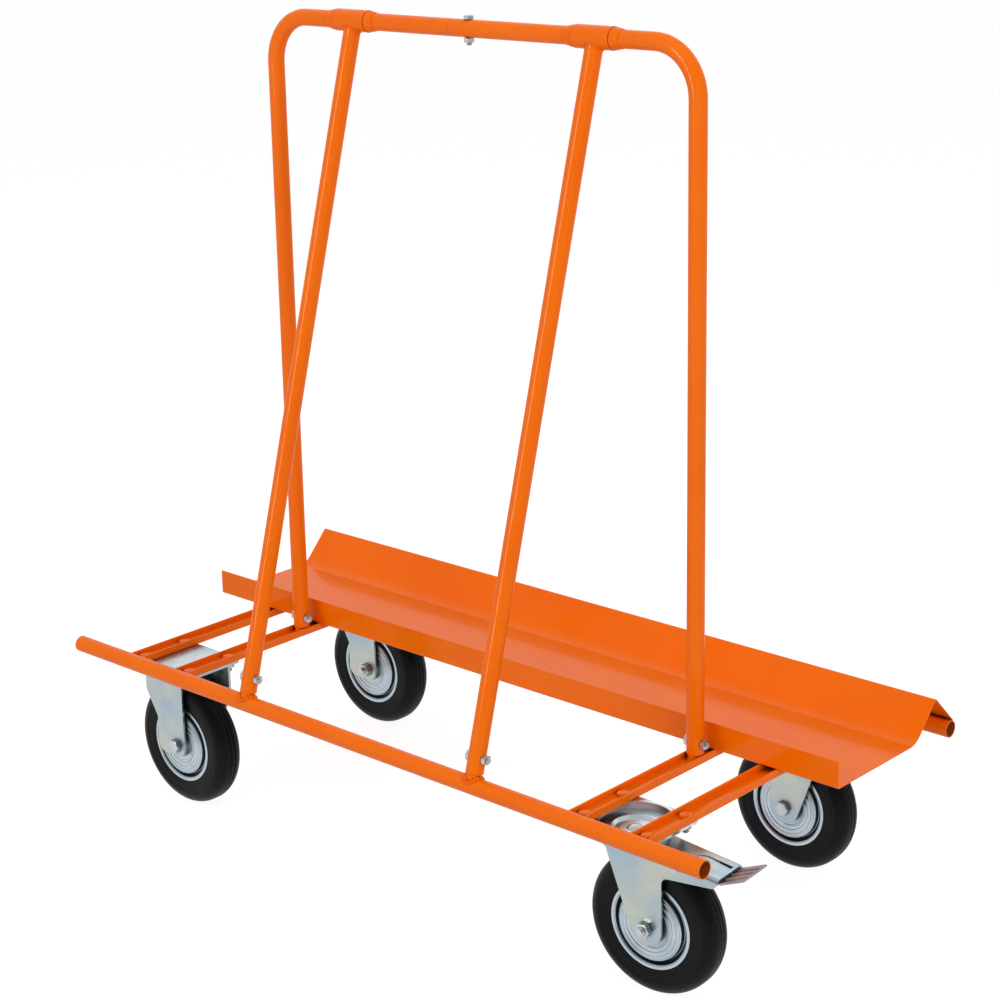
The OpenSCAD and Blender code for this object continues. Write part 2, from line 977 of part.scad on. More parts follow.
module brake_pin() {
    translate([brake_pivot_x, 0, brake_z]) {
        y_cylinder(brake_pin_r, 2 * fork_out);
        for (side = [-1, 1])
            translate([0, side * (fork_out + brake_pin_head_h / 2), 0])
                y_cylinder(brake_pin_head_r, brake_pin_head_h);
    }
}

// Pressed lever: barrel on the pin, arm under the hood, shoe above the tyre and ribbed pedal
module brake_lever() {
    pivot = [brake_pivot_x, brake_z];
    root = [hood_end_x + lever_root_clear, crown_z - lever_root_drop];
    tip = [pedal_reach, root.y + pedal_rise];
    pedal_l = norm(tip - root);
    out = [cos(shoe_angle), sin(shoe_angle)];
    shoe = [trail, axle_z] + (wheel_r + shoe_gap + shoe_t / 2) * out;
    shoe_half = shoe_l / 2 * [-out.y, out.x];
    arm_share = (shoe_arm_x - pivot.x) / (root.x - pivot.x);
    difference() {
        union() {
            across(lever_w) {
                translate(pivot)
                    circle(r = lever_barrel_r);
                strip(pivot, root, lever_t);
                translate(root)
                    circle(r = lever_t / 2);
            }
            across(pedal_w) {
                strip(root, tip, lever_t);
                translate(tip)
                    circle(r = lever_t / 2);
            }
            across(shoe_w) {
                strip(shoe - shoe_half, shoe + shoe_half, shoe_t);
                strip(shoe, pivot + arm_share * (root - pivot), shoe_t);
            }
            for (i = [-1 : 1])
                translate([root.x, i * pedal_rib_pitch, root.y])
                    rotate([0, 90 - atan2(pedal_rise, tip.x - root.x), 0])
                        translate([-lever_t / 2, 0, pedal_rib_inset])
                            cylinder(r = pedal_rib_r, h = pedal_l - pedal_rib_inset);
        }
        translate([pivot.x, 0, pivot.y])
            y_cylinder(brake_pin_r + run_fit, lever_w + 2 * overrun);
    }
}

// Sub-parts

module front_rail() { color(paint) rail(front_y); }
module rear_rail() { color(paint) rail(rear_y); }
module left_outer_bar() { color(paint) cross_bar(-outer_bar_x); }
module left_inner_bar() { color(paint) cross_bar(-inner_bar_x); }
module right_inner_bar() { color(paint) cross_bar(inner_bar_x); }
module right_outer_bar() { color(paint) cross_bar(outer_bar_x); }

module tray() {
    color(paint)
        rotate([90, 0, 90])
            linear_extrude(height = tray_length, center = true)
                bent_strip(tray_path(), [crease_r, back_bend_r, crease_r], sheet);
}

module hoop_spigots() {
    color(paint)
        for (side = [-1, 1])
            hoop_spigot(side);
}

module leg_spigots() {
    color(paint)
        for (side = [-1, 1])
            leg_spigot(side);
}

module left_hoop() { color(paint) hoop_half(-1); }
module right_hoop() { color(paint) hoop_half(1); }

module hoop_splice() {
    l = seam_offset + 2 * splice_reach;
    color(paint)
        translate([-seam_offset / 2, hoop_y, top_z])
            difference() {
                x_cylinder(spigot_r, l);
                x_cylinder(spigot_r - spigot_wall, l + 2 * overrun);
                translate([seam_offset / 2, 0, 0])
                    cylinder(r = frame_bolt_d / 2 + hole_play, h = tube_d, center = true);
            }
}

module stop_collars() {
    color(paint)
        for (side = [-1, 1], outward = [-1, 1])
            stop_collar(side * leg_x, outward);
}

module left_sleeve() { color(paint) sleeve(-1); }
module right_sleeve() { color(paint) sleeve(1); }
module left_leg() { color(paint) leg(-1); }
module right_leg() { color(paint) leg(1); }

module frame_bolts() {
    color(zinc) {
        at_frame_bolts() {
            frame_shank();
            translate([0, 0, -tube_r - weld_gap])
                rotate([180, 0, 0])
                    dome_head(frame_head_d, frame_head_h);
        }
        at_top_bolt() {
            frame_shank();
            translate([0, 0, -tube_r - weld_gap - frame_hex_h])
                hex_prism(frame_nut_af, frame_hex_h);
        }
    }
}

module frame_nuts() {
    color(zinc) {
        at_frame_bolts()
            frame_nut();
        at_top_bolt()
            frame_nut();
    }
}

module caster_bolts() {
    tail_z = plate_under - plate_nut_h - plate_tail;
    color(paint)
        at_casters()
            at_plate_holes() {
                translate([0, 0, web_top])
                    hex_prism(plate_nut_af, plate_head_h);
                translate([0, 0, tail_z])
                    cylinder(r = plate_bolt_d / 2, h = web_top - tail_z);
            }
}

module caster_nuts() {
    color(zinc)
        at_casters()
            at_plate_holes()
                translate([0, 0, plate_under - plate_nut_h])
                    hex_nut(plate_nut_af, plate_nut_h, plate_bolt_d);
}

module front_left_bracket() { color(zinc) at_front_left() rigid_bracket(); }
module front_left_axle() { color(zinc) at_front_left() at_wheel(0) axle_bolt(-1); }
module front_left_axle_nut() { color(zinc) at_front_left() at_wheel(0) axle_nut(-1); }
module front_left_spacer() { color(zinc) at_front_left() at_wheel(0) spacer(); }
module front_left_hub() { color(zinc) at_front_left() at_wheel(0) hub(); }
module front_left_rim() { color(zinc) at_front_left() at_wheel(0) rim(); }
module front_left_tyre() { color(rubber) at_front_left() at_wheel(0) tyre(); }

module rear_left_bracket() { color(zinc) at_rear_left() rigid_bracket(); }
module rear_left_axle() { color(zinc) at_rear_left() at_wheel(0) axle_bolt(-1); }
module rear_left_axle_nut() { color(zinc) at_rear_left() at_wheel(0) axle_nut(-1); }
module rear_left_spacer() { color(zinc) at_rear_left() at_wheel(0) spacer(); }
module rear_left_hub() { color(zinc) at_rear_left() at_wheel(0) hub(); }
module rear_left_rim() { color(zinc) at_rear_left() at_wheel(0) rim(); }
module rear_left_tyre() { color(rubber) at_rear_left() at_wheel(0) tyre(); }

module front_right_plate() { color(zinc) at_front_right() swivel_plate(); }
module front_right_king_pin() { color(zinc) at_front_right() king_pin(); }
module front_right_balls() { color(zinc) front_turned() race_balls(); }
module front_right_fork() { color(zinc) front_turned() fork(); }
module front_right_axle() { color(zinc) front_turned() at_wheel(trail) axle_bolt(1); }
module front_right_axle_nut() { color(zinc) front_turned() at_wheel(trail) axle_nut(1); }
module front_right_spacer() { color(zinc) front_turned() at_wheel(trail) spacer(); }
module front_right_hub() { color(zinc) front_turned() at_wheel(trail) hub(); }
module front_right_rim() { color(zinc) front_turned() at_wheel(trail) rim(); }
module front_right_tyre() { color(rubber) front_turned() at_wheel(trail) tyre(); }
module front_right_brake_pin() { color(zinc) front_turned() brake_pin(); }
module front_right_brake_lever() { color(pedal_steel) front_turned() brake_lever(); }

module rear_right_plate() { color(zinc) at_rear_right() swivel_plate(); }
module rear_right_king_pin() { color(zinc) at_rear_right() king_pin(); }
module rear_right_balls() { color(zinc) rear_turned() race_balls(); }
module rear_right_fork() { color(zinc) rear_turned() fork(); }
module rear_right_axle() { color(zinc) rear_turned() at_wheel(trail) axle_bolt(1); }
module rear_right_axle_nut() { color(zinc) rear_turned() at_wheel(trail) axle_nut(1); }
module rear_right_spacer() { color(zinc) rear_turned() at_wheel(trail) spacer(); }
module rear_right_hub() { color(zinc) rear_turned() at_wheel(trail) hub(); }
module rear_right_rim() { color(zinc) rear_turned() at_wheel(trail) rim(); }
module rear_right_tyre() { color(rubber) rear_turned() at_wheel(trail) tyre(); }
module rear_right_brake_pin() { color(zinc) rear_turned() brake_pin(); }
module rear_right_brake_lever() { color(pedal_steel) rear_turned() brake_lever(); }

front_rail();
rear_rail();
left_outer_bar();
left_inner_bar();
right_inner_bar();
right_outer_bar();
tray();
hoop_spigots();
leg_spigots();
left_hoop();
right_hoop();
hoop_splice();
stop_collars();
left_sleeve();
right_sleeve();
left_leg();
right_leg();
frame_bolts();
frame_nuts();
caster_bolts();
caster_nuts();
front_left_bracket();
front_left_axle();
front_left_axle_nut();
front_left_spacer();
front_left_hub();
front_left_rim();
front_left_tyre();
rear_left_bracket();
rear_left_axle();
rear_left_axle_nut();
rear_left_spacer();
rear_left_hub();
rear_left_rim();
rear_left_tyre();
front_right_plate();
front_right_king_pin();
front_right_balls();
front_right_fork();
front_right_axle();
front_right_axle_nut();
front_right_spacer();
front_right_hub();
front_right_rim();
front_right_tyre();
front_right_brake_pin();
front_right_brake_lever();
rear_right_plate();
rear_right_king_pin();
rear_right_balls();
rear_right_fork();
rear_right_axle();
rear_right_axle_nut();
rear_right_spacer();
rear_right_hub();
rear_right_rim();
rear_right_tyre();
rear_right_brake_pin();
rear_right_brake_lever();
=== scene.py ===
"""Looks of the drywall cart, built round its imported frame.

Each sub-assembly is a class that holds its sizes in millimetres, builds its meshes as numpy surfaces in the
cart's own frame and dresses them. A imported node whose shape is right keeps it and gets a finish.
"""

import logging
import math
from dataclasses import dataclass
from enum import Enum

import bmesh
import bpy
import numpy as np
from mathutils import Matrix, Vector


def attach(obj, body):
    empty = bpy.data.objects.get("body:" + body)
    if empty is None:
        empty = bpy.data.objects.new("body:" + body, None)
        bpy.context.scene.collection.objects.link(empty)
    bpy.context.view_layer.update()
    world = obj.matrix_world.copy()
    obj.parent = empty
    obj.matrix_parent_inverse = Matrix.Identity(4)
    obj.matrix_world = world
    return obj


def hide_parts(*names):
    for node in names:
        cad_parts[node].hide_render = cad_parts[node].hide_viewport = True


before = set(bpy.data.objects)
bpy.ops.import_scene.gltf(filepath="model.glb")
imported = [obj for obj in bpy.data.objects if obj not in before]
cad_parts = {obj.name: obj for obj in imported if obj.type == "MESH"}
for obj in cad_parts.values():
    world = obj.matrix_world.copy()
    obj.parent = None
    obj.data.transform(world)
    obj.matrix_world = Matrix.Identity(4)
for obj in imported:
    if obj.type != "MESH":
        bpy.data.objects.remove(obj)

log = logging.getLogger("drywall_cart")
MM = 0.001
FULL_TURN = 2 * math.pi
SIDES = (-1, 1)


@dataclass(frozen=True)
class Layout:
    """Sizes and places that several sub-assemblies share."""

    rail_y: float = 287.5
    rail_z: float = 243.0
    tube_r: float = 12.5
    hoop_x: float = 398.0
    hoop_y: float = -16.5
    leg_x: float = 228.0
    top_z: float = 1220.0
    web_top: float = 238.5
    caster_x: float = 450.5
    front_y: float = -214.0
    rear_y: float = 207.5
    axle_z: float = 100.0

    @property
    def leg_rise(self) -> float:
        """Height of a leg's upper end over its foot."""
        return self.top_z - self.rail_z

    @property
    def leg_run(self) -> float:
        """How far a leg's upper end lies behind its foot."""
        return self.hoop_y + self.rail_y

    @property
    def rake(self) -> float:
        """Angle of the legs from upright."""
        return math.atan2(self.leg_run, self.leg_rise)


CART = Layout()


class Corner(Enum):
    """The four casters: the words that begin their nodes' names, and their wheels' heading in degrees."""

    FRONT_LEFT = ("front_left", 0.0)
    REAR_LEFT = ("rear_left", 180.0)
    FRONT_RIGHT = ("front_right", 4.7)
    REAR_RIGHT = ("rear_right", 180.0)

    def __init__(self, words: str, heading: float) -> None:
        """Keeps the words, and the heading in radians."""
        self.words = words
        self.yaw = math.radians(heading)

    @property
    def swivels(self) -> bool:
        """True for the casters that turn on a king pin."""
        return self in (Corner.FRONT_RIGHT, Corner.REAR_RIGHT)

    @property
    def plate(self) -> tuple[float, float]:
        """Middle of the caster's plate, seen from above.

        Returns:
            Its x and y in millimetres.
        """
        x = CART.caster_x if self.swivels else -CART.caster_x
        y = CART.front_y if self in (Corner.FRONT_LEFT, Corner.FRONT_RIGHT) else CART.rear_y
        return x, y


class Slot(Enum):
    """Names of the record's material slots, one for each kind of new piece."""

    PAINT = "orange_paint"
    RIM = "zinc_rim"
    FASTENER = "zinc_fastener"
    RUBBER = "black_rubber"


class Way(Enum):
    """Which way a bolt points: degrees of its turn from upright, and the axis of that turn."""

    UP = (0.0, "X")
    DOWN = (180.0, "X")
    RIGHT = (90.0, "Y")


# Meshes

# Points closer than this are one point, in metres
MERGE = 2e-6
# A new piece keeps an edge sharp above the first angle, a packed one gets its edge rounded above the second
SHARP_ANGLE = math.radians(34)
ROUND_ANGLE = math.radians(38)
# Angles drawn round a hexagon, a multiple of 6 so that its corners are kept
HEXAGON_STEPS = 96
# A hexagon's faces are trimmed from this share of its half width outwards, at this slope
TRIM_SHARE = 0.97
TRIM_SLOPE = math.tan(math.radians(30))
# Width and depth of the countersink of a nut's hole
LEAD_WIDTH = 0.5
LEAD_DEPTH = 0.4
# Depth of a thread as a share of its pitch, its rows and columns of points in a turn, and the cut of its end
THREAD_SHARE = 0.55
THREAD_ROWS = 6
THREAD_STEPS = 32
THREAD_POINT = 1.2


@dataclass
class Shell:
    """A surface in the making: points in millimetres and the quads between them."""

    points: np.ndarray
    quads: np.ndarray

    def placed(self, matrix: np.ndarray) -> "Shell":
        """The same surface moved by a 4 by 4 matrix."""
        return Shell(self.points @ matrix[:3, :3].T + matrix[:3, 3], self.quads)


def join(shells: list[Shell]) -> Shell:
    """Puts several surfaces into one.

    Args:
        shells: the surfaces, each with its own point numbers.

    Returns:
        One surface whose point numbers run on from shell to shell.
    """
    counts = np.cumsum([0] + [len(shell.points) for shell in shells[:-1]])
    points = np.concatenate([shell.points for shell in shells])
    quads = np.concatenate([shell.quads + start for shell, start in zip(shells, counts)])
    return Shell(points, quads)


def net(points: np.ndarray, wrap_rows: bool = False, wrap_cols: bool = False) -> Shell:
    """Spans quads between the neighbours of a grid of points.

    Args:
        points: rows by columns by 3 array, in millimetres.
        wrap_rows: joins the last row to the first.
        wrap_cols: joins the last column to the first.

    Returns:
        The surface, one quad for each cell of the grid.
    """
    rows, cols = points.shape[:2]
    first_rows = np.arange(rows if wrap_rows else rows - 1)
    first_cols = np.arange(cols if wrap_cols else cols - 1)
    i, j = np.meshgrid(first_rows, first_cols, indexing="ij")
    here = i * cols
    there = (i + 1) % rows * cols
    j_next = (j + 1) % cols
    quads = np.stack([here + j, there + j, there + j_next, here + j_next], axis=-1)
    return Shell(points.reshape(-1, 3), quads.reshape(-1, 4))


def turned(profile: np.ndarray, steps: int = 64, closed: bool = False) -> Shell:
    """Turns a profile round Z: x = r cos t, y = r sin t, z = h for each profile point and each angle t.

    Args:
        profile: array of (radius, height) points.
        steps: number of angles in a full turn.
        closed: joins the profile's last point to its first.

    Returns:
        The surface of revolution.
    """
    t = np.linspace(0, FULL_TURN, steps, endpoint=False)[:, None]
    radius, height = profile[:, 0], profile[:, 1]
    points = np.stack([radius * np.cos(t), radius * np.sin(t), height + 0 * t], axis=-1)
    return net(points, wrap_rows=True, wrap_cols=closed)


def rounded(corners: np.ndarray, radii: np.ndarray, steps: int) -> np.ndarray:
    """Rounds the corners of a closed outline.

    Each corner becomes an arc that touches both of its sides: the arc's centre lies on the bisector, and its
    points come from blending the two touching radii by the sines of their angles.

    Args:
        corners: array of (radius, height) points in order round the outline.
        radii: arc radius of each corner.
        steps: points on each arc.

    Returns:
        Array of outline points.
    """
    back = np.roll(corners, 1, axis=0) - corners
    ahead = np.roll(corners, -1, axis=0) - corners
    back /= np.linalg.norm(back, axis=1, keepdims=True)
    ahead /= np.linalg.norm(ahead, axis=1, keepdims=True)
    nearly = 0.99999
    between = np.arccos(np.clip((back * ahead).sum(axis=1), -nearly, nearly))
    bisector = back + ahead
    bisector /= np.linalg.norm(bisector, axis=1, keepdims=True)
    centre = corners + bisector * (radii / np.sin(between / 2))[:, None]
    cut = (radii / np.tan(between / 2))[:, None]
    first = corners + back * cut - centre
    last = corners + ahead * cut - centre
    sweep = (math.pi - between)[:, None, None]
    s = np.linspace(0, 1, steps)[None, :, None]
    arc = np.sin((1 - s) * sweep) * first[:, None] + np.sin(s * sweep) * last[:, None]
    return (centre[:, None] + arc / np.sin(sweep)).reshape(-1, 2)


def bead(
    path: np.ndarray, radius: np.ndarray, up: tuple[float, float, float], closed: bool, sides: int = 10
) -> Shell:
    """Carries a circle of changing radius along a path: p + r (cos a n + sin a b), n and b across the path.

    Args:
        path: array of points in millimetres.
        radius: radius at each point; 0 at an open end closes it.
        up: a direction that the path never runs along, which steadies the circle.
        closed: the path runs back to its first point.
        sides: points on the circle.

    Returns:
        The surface of the bead.
    """
    if closed:
        along = np.roll(path, -1, axis=0) - np.roll(path, 1, axis=0)
    else:
        along = np.gradient(path, axis=0)
    along /= np.linalg.norm(along, axis=1, keepdims=True)
    side = np.cross(along, np.array(up))
    side /= np.linalg.norm(side, axis=1, keepdims=True)
    over = np.cross(side, along)
    a = np.linspace(0, FULL_TURN, sides, endpoint=False)[None, :, None]
    ring = np.cos(a) * side[:, None] + np.sin(a) * over[:, None]
    return net(path[:, None] + radius[:, None, None] * ring, wrap_rows=closed, wrap_cols=True)


def hexagon(across: float, low: float, high: float, bore: float = 0.0, both: bool = True) -> Shell:
    """Hexagonal nut or head: at angle t its wall stands at (across / 2) / cos(t mod 60 - 30) from the axis.

    Its faces are trimmed by a 30 degree cone, so each face falls off beyond a circle just inside the flats.

    Args:
        across: width across the flats.
        low: height of the lower face.
        high: height of the upper face.
        bore: radius of the hole, 0 for a solid head.
        both: trims the lower face too.

    Returns:
        The closed surface.
    """
    steps = HEXAGON_STEPS
    t = np.linspace(0, FULL_TURN, steps, endpoint=False)
    wall = across / 2 / np.cos(t % (math.pi / 3) - math.pi / 6)
    flat = np.full(steps, across / 2 * TRIM_SHARE)
    fall = (wall - flat) * TRIM_SLOPE
    hole = np.full(steps, bore)
    lead = np.full(steps, bore + (LEAD_WIDTH if bore else 0.0))
    lip = LEAD_DEPTH if bore else 0.0
    radius = np.stack([hole, lead, flat, wall, wall, flat, lead, hole], axis=1)
    under = np.full(steps, low)
    over = np.full(steps, high)
    under_wall = under + fall if both else under
    level = np.stack([under + lip, under, under, under_wall, over - fall, over, over, over - lip], axis=1)
    points = np.stack([radius * np.cos(t)[:, None], radius * np.sin(t)[:, None], level], axis=-1)
    return net(points, wrap_rows=True, wrap_cols=True)


def thread(radius: float, low: float, high: float, pitch: float) -> Shell:
    """Threaded bolt end: r = radius - depth times a triangle wave of (height / pitch - angle / turn).

    The last turn is cut back to a 45 degree point, and the end is flat.

    Args:
        radius: outer radius of the thread.
        low: height where the thread starts.
        high: height of its end.
        pitch: height of one turn.

    Returns:
        The surface, closed at its end.
    """
    t = np.linspace(0, FULL_TURN, THREAD_STEPS, endpoint=False)[:, None]
    z = np.linspace(low, high, int((high - low) / pitch * THREAD_ROWS) + 2)[None, :]
    wave = np.abs(((z / pitch - t / FULL_TURN) % 1) * 2 - 1)
    r = np.minimum(radius - THREAD_SHARE * pitch * wave, radius - THREAD_POINT + (high - z))
    z_all = np.concatenate([z + 0 * t, high + 0 * t], axis=1)
    r_all = np.concatenate([r, 0 * t], axis=1)
    points = np.stack([r_all * np.cos(t), r_all * np.sin(t), z_all], axis=-1)
    return net(points, wrap_rows=True)


@dataclass(frozen=True)
class Screw:
    """A bolt's thread and its nut, drawn upwards from the nut's seat."""

    radius: float
    pitch: float
    across: float
    nut_h: float
    tail: float
    # The nut's hole is drawn this much smaller than the thread, so that no gap shows
    grip: float = 0.2
    # The thread starts this far inside the nut
    start: float = 1.0

    def nut(self, seat: float) -> Shell:
        """The nut."""
        return hexagon(self.across, seat, seat + self.nut_h, self.radius - self.grip)

    def end(self, seat: float) -> Shell:
        """The end of the thread, which stands out of the nut by the tail."""
        return thread(self.radius, seat + self.start, seat + self.nut_h + self.tail, self.pitch)


FRAME_SCREW = Screw(4.0, 1.25, 13.0, 6.5, 4.0)
CASTER_SCREW = Screw(5.0, 1.5, 16.0, 8.0, 7.0)
AXLE_SCREW = Screw(6.0, 1.75, 19.0, 10.0, 6.0)


def turn_to(way: Way, place: tuple[float, float, float]) -> np.ndarray:
    """Matrix that lays local Z along a way and moves it to a place.

    Args:
        way: where local Z points.
        place: where the local origin goes, in millimetres.

    Returns:
        4 by 4 array.
    """
    angle, about = way.value
    return np.array(Matrix.Translation(place) @ Matrix.Rotation(math.radians(angle), 4, about))


def add_piece(
    name: str, shell: Shell, finish: bpy.types.Material, body: str, slot: Slot, nodes: tuple[str, ...] = ()
) -> None:
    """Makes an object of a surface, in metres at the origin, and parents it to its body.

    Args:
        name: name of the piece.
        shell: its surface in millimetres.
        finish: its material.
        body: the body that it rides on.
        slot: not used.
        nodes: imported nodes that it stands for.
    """
    mesh = bpy.data.meshes.new(name)
    mesh.from_pydata((shell.points * MM).tolist(), [], shell.quads.tolist())
    work = bmesh.new()
    work.from_mesh(mesh)
    bmesh.ops.remove_doubles(work, verts=work.verts, dist=MERGE)
    bmesh.ops.recalc_face_normals(work, faces=work.faces)
    work.to_mesh(mesh)
    work.free()
    mesh.shade_smooth()
    mesh.set_sharp_from_angle(angle=SHARP_ANGLE)
    mesh.materials.append(finish)
    piece = bpy.data.objects.new(name, mesh)
    bpy.context.scene.collection.objects.link(piece)
    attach(piece, body)
    if nodes:
        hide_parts(*nodes)
    log.info("%s: %d faces on %s", name, len(mesh.polygons), body)


def dress(nodes: tuple[str, ...], finish: bpy.types.Material, edge_mm: float = 0.0) -> None:
    """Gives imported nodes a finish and, where asked, a small rounding on their sharp edges.

    Args:
        nodes: names of the nodes.
        finish: their material.
        edge_mm: width of the rounding, 0 for none.
    """
    for node in nodes:
        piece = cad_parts[node]
        for place in piece.material_slots:
            place.material = finish
        if edge_mm:
            weld = piece.modifiers.new("merge", "WELD")
            weld.merge_threshold = MERGE
            bevel = piece.modifiers.new("edge", "BEVEL")
            bevel.width = edge_mm * MM
            bevel.segments = 2
            bevel.limit_method = "ANGLE"
            bevel.angle_limit = ROUND_ANGLE
            bevel.use_clamp_overlap = False
            smooth = piece.modifiers.new("normals", "WEIGHTED_NORMAL")
            smooth.keep_sharp = False
        log.info("%s: %s", node, finish.name)


# Finishes

# Most values of a noise lie in this span
NOISE_SPAN = {"From Min": 0.3, "From Max": 0.7}
# Likeness of the rounded and the plain normal where an edge starts, and where it is full
EDGE_SPAN = {"From Min": 0.98, "From Max": 0.82}
# Share of open sky where the painted corner shade is darkest, and how much of the shade's colour then shows
CLOSED_SKY = 0.15
CORNER_SHARE = 0.9


def linear(colour: str) -> tuple[float, float, float, float]:
    """Linear colour of an sRGB hex value.

    Args:
        colour: such as "#E8620E".

    Returns:
        Red, green, blue and 1.
    """
    srgb = np.array([int(colour[i:i + 2], 16) for i in (1, 3, 5)]) / 255
    light = np.where(srgb <= 0.04045, srgb / 12.92, ((srgb + 0.055) / 1.055) ** 2.4)
    return (*light.tolist(), 1.0)


def per_mm(size: float) -> float:
    """Texture scale at which one feature is that many millimetres wide."""
    return 1 / (size * MM)


def add(
    tree: bpy.types.NodeTree, kind: str, sockets: dict[str | int, object] | None = None, **settings: object
) -> bpy.types.Node:
    """Adds one node to a tree, sets it and links it.

    Args:
        tree: nodes of a material or of the world.
        kind: type of the node without its prefix.
        sockets: value of each input by name or number; a socket of another node is linked instead, and of a
            whole node the first output in use.
        settings: its properties.

    Returns:
        The new node.
    """
    node = tree.nodes.new("ShaderNode" + kind)
    for key, value in settings.items():
        setattr(node, key, value)
    for key, value in (sockets or {}).items():
        if isinstance(value, bpy.types.Node):
            value = next(output for output in value.outputs if output.enabled)
        if isinstance(value, bpy.types.NodeSocket):
            tree.links.new(value, node.inputs[key])
        else:
            node.inputs[key].default_value = value
    return node


def start_material(name: str) -> tuple[bpy.types.Material, bpy.types.NodeTree]:
    """Makes an empty node material.

    Args:
        name: its name.

    Returns:
        The material and its node tree.
    """
    material = bpy.data.materials.new(name)
    material.use_nodes = True
    material.node_tree.nodes.clear()
    return material, material.node_tree


def edges(tree: bpy.types.NodeTree, radius: float) -> tuple[bpy.types.Node, bpy.types.Node]:
    """Finds sharp edges: the rounded normal within a radius turns away from the face's own normal there.

    Args:
        tree: nodes of the material.
        radius: reach of the rounding in millimetres.

    Returns:
        A value of 1 on edges and 0 away from them, and the rounded normal.
    """
    soft = add(tree, "Bevel", {"Radius": radius * MM}, samples=4)
    hard = add(tree, "NewGeometry").outputs["Normal"]
    same = add(tree, "VectorMath", {0: soft, 1: hard}, operation="DOT_PRODUCT")
    return add(tree, "MapRange", {"Value": same, **EDGE_SPAN}), soft


def corner_shade(tree: bpy.types.NodeTree, reach: float, start: float) -> bpy.types.Node:
    """Finds corners, gaps and bores by how much of the sky above the surface is closed within a reach.

    Args:
        tree: nodes of the material.
        reach: distance looked over, in millimetres.
        start: share of open sky under which the value starts to rise.

    Returns:
        A value of 0 in the open, rising to the corner's share, which sets how much painted shade shows.
    """
    # Painted shade: the less sky is open within the reach, the more of a corner colour is mixed in
    sky = add(tree, "AmbientOcclusion", {"Distance": reach * MM}, samples=6).outputs["AO"]
    span = {"From Min": start, "From Max": CLOSED_SKY, "To Max": CORNER_SHARE}
    return add(tree, "MapRange", {"Value": sky, **span})


@dataclass(frozen=True)
class PowderCoat:
    """Polyester powder coat baked on steel.

    A thick even film: strong flat colour, a soft body with a glossy skin that draws lamps as narrow streaks,
    a faint orange peel, a painted highlight along cut edges, painted shade in corners and inside the rails'
    bores.
    """

    name: str = "polyester_powder_coat_baked_on_steel"
    deep: str = "#EF6500"
    bright: str = "#FA7602"
    cloud_mm: float = 140.0
    # Painted highlight along cut edges, within edge_mm of them
    edge: str = "#F6934A"
    edge_mm: float = 0.7
    # Painted shade in corners, gaps and bores, reaching corner_mm, starting where the open sky falls under
    # corner_open
    corner: str = "#8A2A00"
    corner_mm: float = 16.0
    corner_open: float = 0.56
    # The real peel is about 1 mm wide; 5 mm is what shows at the photograph's size
    peel_mm: float = 5.0
    peel_depth_mm: float = 0.04
    peel_strength: float = 0.1
    low_rough: float = 0.34
    high_rough: float = 0.44
    ior: float = 1.5
    gloss: float = 0.03
    skin: float = 0.24
    skin_rough: float = 0.12
    # Painted shade inside the open rails: within this radius of a rail's axis a dark brown shows
    bore_mm: float = 0.0
    bore_fade_mm: float = 0.5
    bore_shade: str = "#9A4614"

    def bore(
        self, tree: bpy.types.NodeTree, place: bpy.types.NodeSocket, film: bpy.types.Node
    ) -> bpy.types.Node:
        """Paints shade inside both rails, by the distance of the height and the width without its sign.

        Args:
            tree: nodes of the material.
            place: the point on the surface.
            film: colour outside the bores.

        Returns:
            The mixed colour.
        """
        part = add(tree, "SeparateXYZ", {0: place})
        side = add(tree, "Math", {0: part.outputs["Y"]}, operation="ABSOLUTE")
        spot = add(tree, "CombineXYZ", {1: side, 2: part.outputs["Z"]})
        axis = (0.0, CART.rail_y * MM, CART.rail_z * MM)
        reach = add(tree, "VectorMath", {0: spot, 1: axis}, operation="DISTANCE")
        span = {"From Min": (self.bore_mm + self.bore_fade_mm) * MM, "From Max": self.bore_mm * MM}
        inside = add(tree, "MapRange", {"Value": reach, **span})
        return add(tree, "Mix", {0: inside, 6: film, 7: linear(self.bore_shade)}, data_type="RGBA")

    def make(self) -> bpy.types.Material:
        """Builds the nodes of the finish.

        Returns:
            The finished material.
        """
        material, tree = start_material(self.name)
        place = add(tree, "TexCoord").outputs["Object"]
        cloud = add(tree, "TexNoise", {"Vector": place, "Scale": per_mm(self.cloud_mm), "Detail": 3.0})
        tone = add(tree, "Mix", {0: cloud, 6: linear(self.deep), 7: linear(self.bright)}, data_type="RGBA")
        rim, soft = edges(tree, self.edge_mm)
        # Painted highlight along sharp edges
        edge_lit = add(tree, "Mix", {0: rim, 6: tone, 7: linear(self.edge)}, data_type="RGBA")
        # Painted shade in corners
        deep = corner_shade(tree, self.corner_mm, self.corner_open)
        colour = add(tree, "Mix", {0: deep, 6: edge_lit, 7: linear(self.corner)}, data_type="RGBA")
        # Painted shade inside the rails' bores
        if self.bore_mm:
            colour = self.bore(tree, place, colour)
        rough = add(
            tree, "MapRange",
            {"Value": cloud, **NOISE_SPAN, "To Min": self.low_rough, "To Max": self.high_rough},
        )
        peel = add(tree, "TexNoise", {"Vector": place, "Scale": per_mm(self.peel_mm), "Detail": 2.0})
        depth = {"Strength": self.peel_strength, "Distance": self.peel_depth_mm * MM}
        bump = add(tree, "Bump", {"Height": peel, **depth, "Normal": soft})
        film = add(
            tree, "BsdfPrincipled",
            {"Base Color": colour, "Roughness": rough, "Normal": bump, "IOR": self.ior,
             "Specular IOR Level": self.gloss, "Coat Weight": self.skin, "Coat Roughness": self.skin_rough,
             "Coat Normal": bump},
        )
        add(tree, "OutputMaterial", {"Surface": film})
        return material


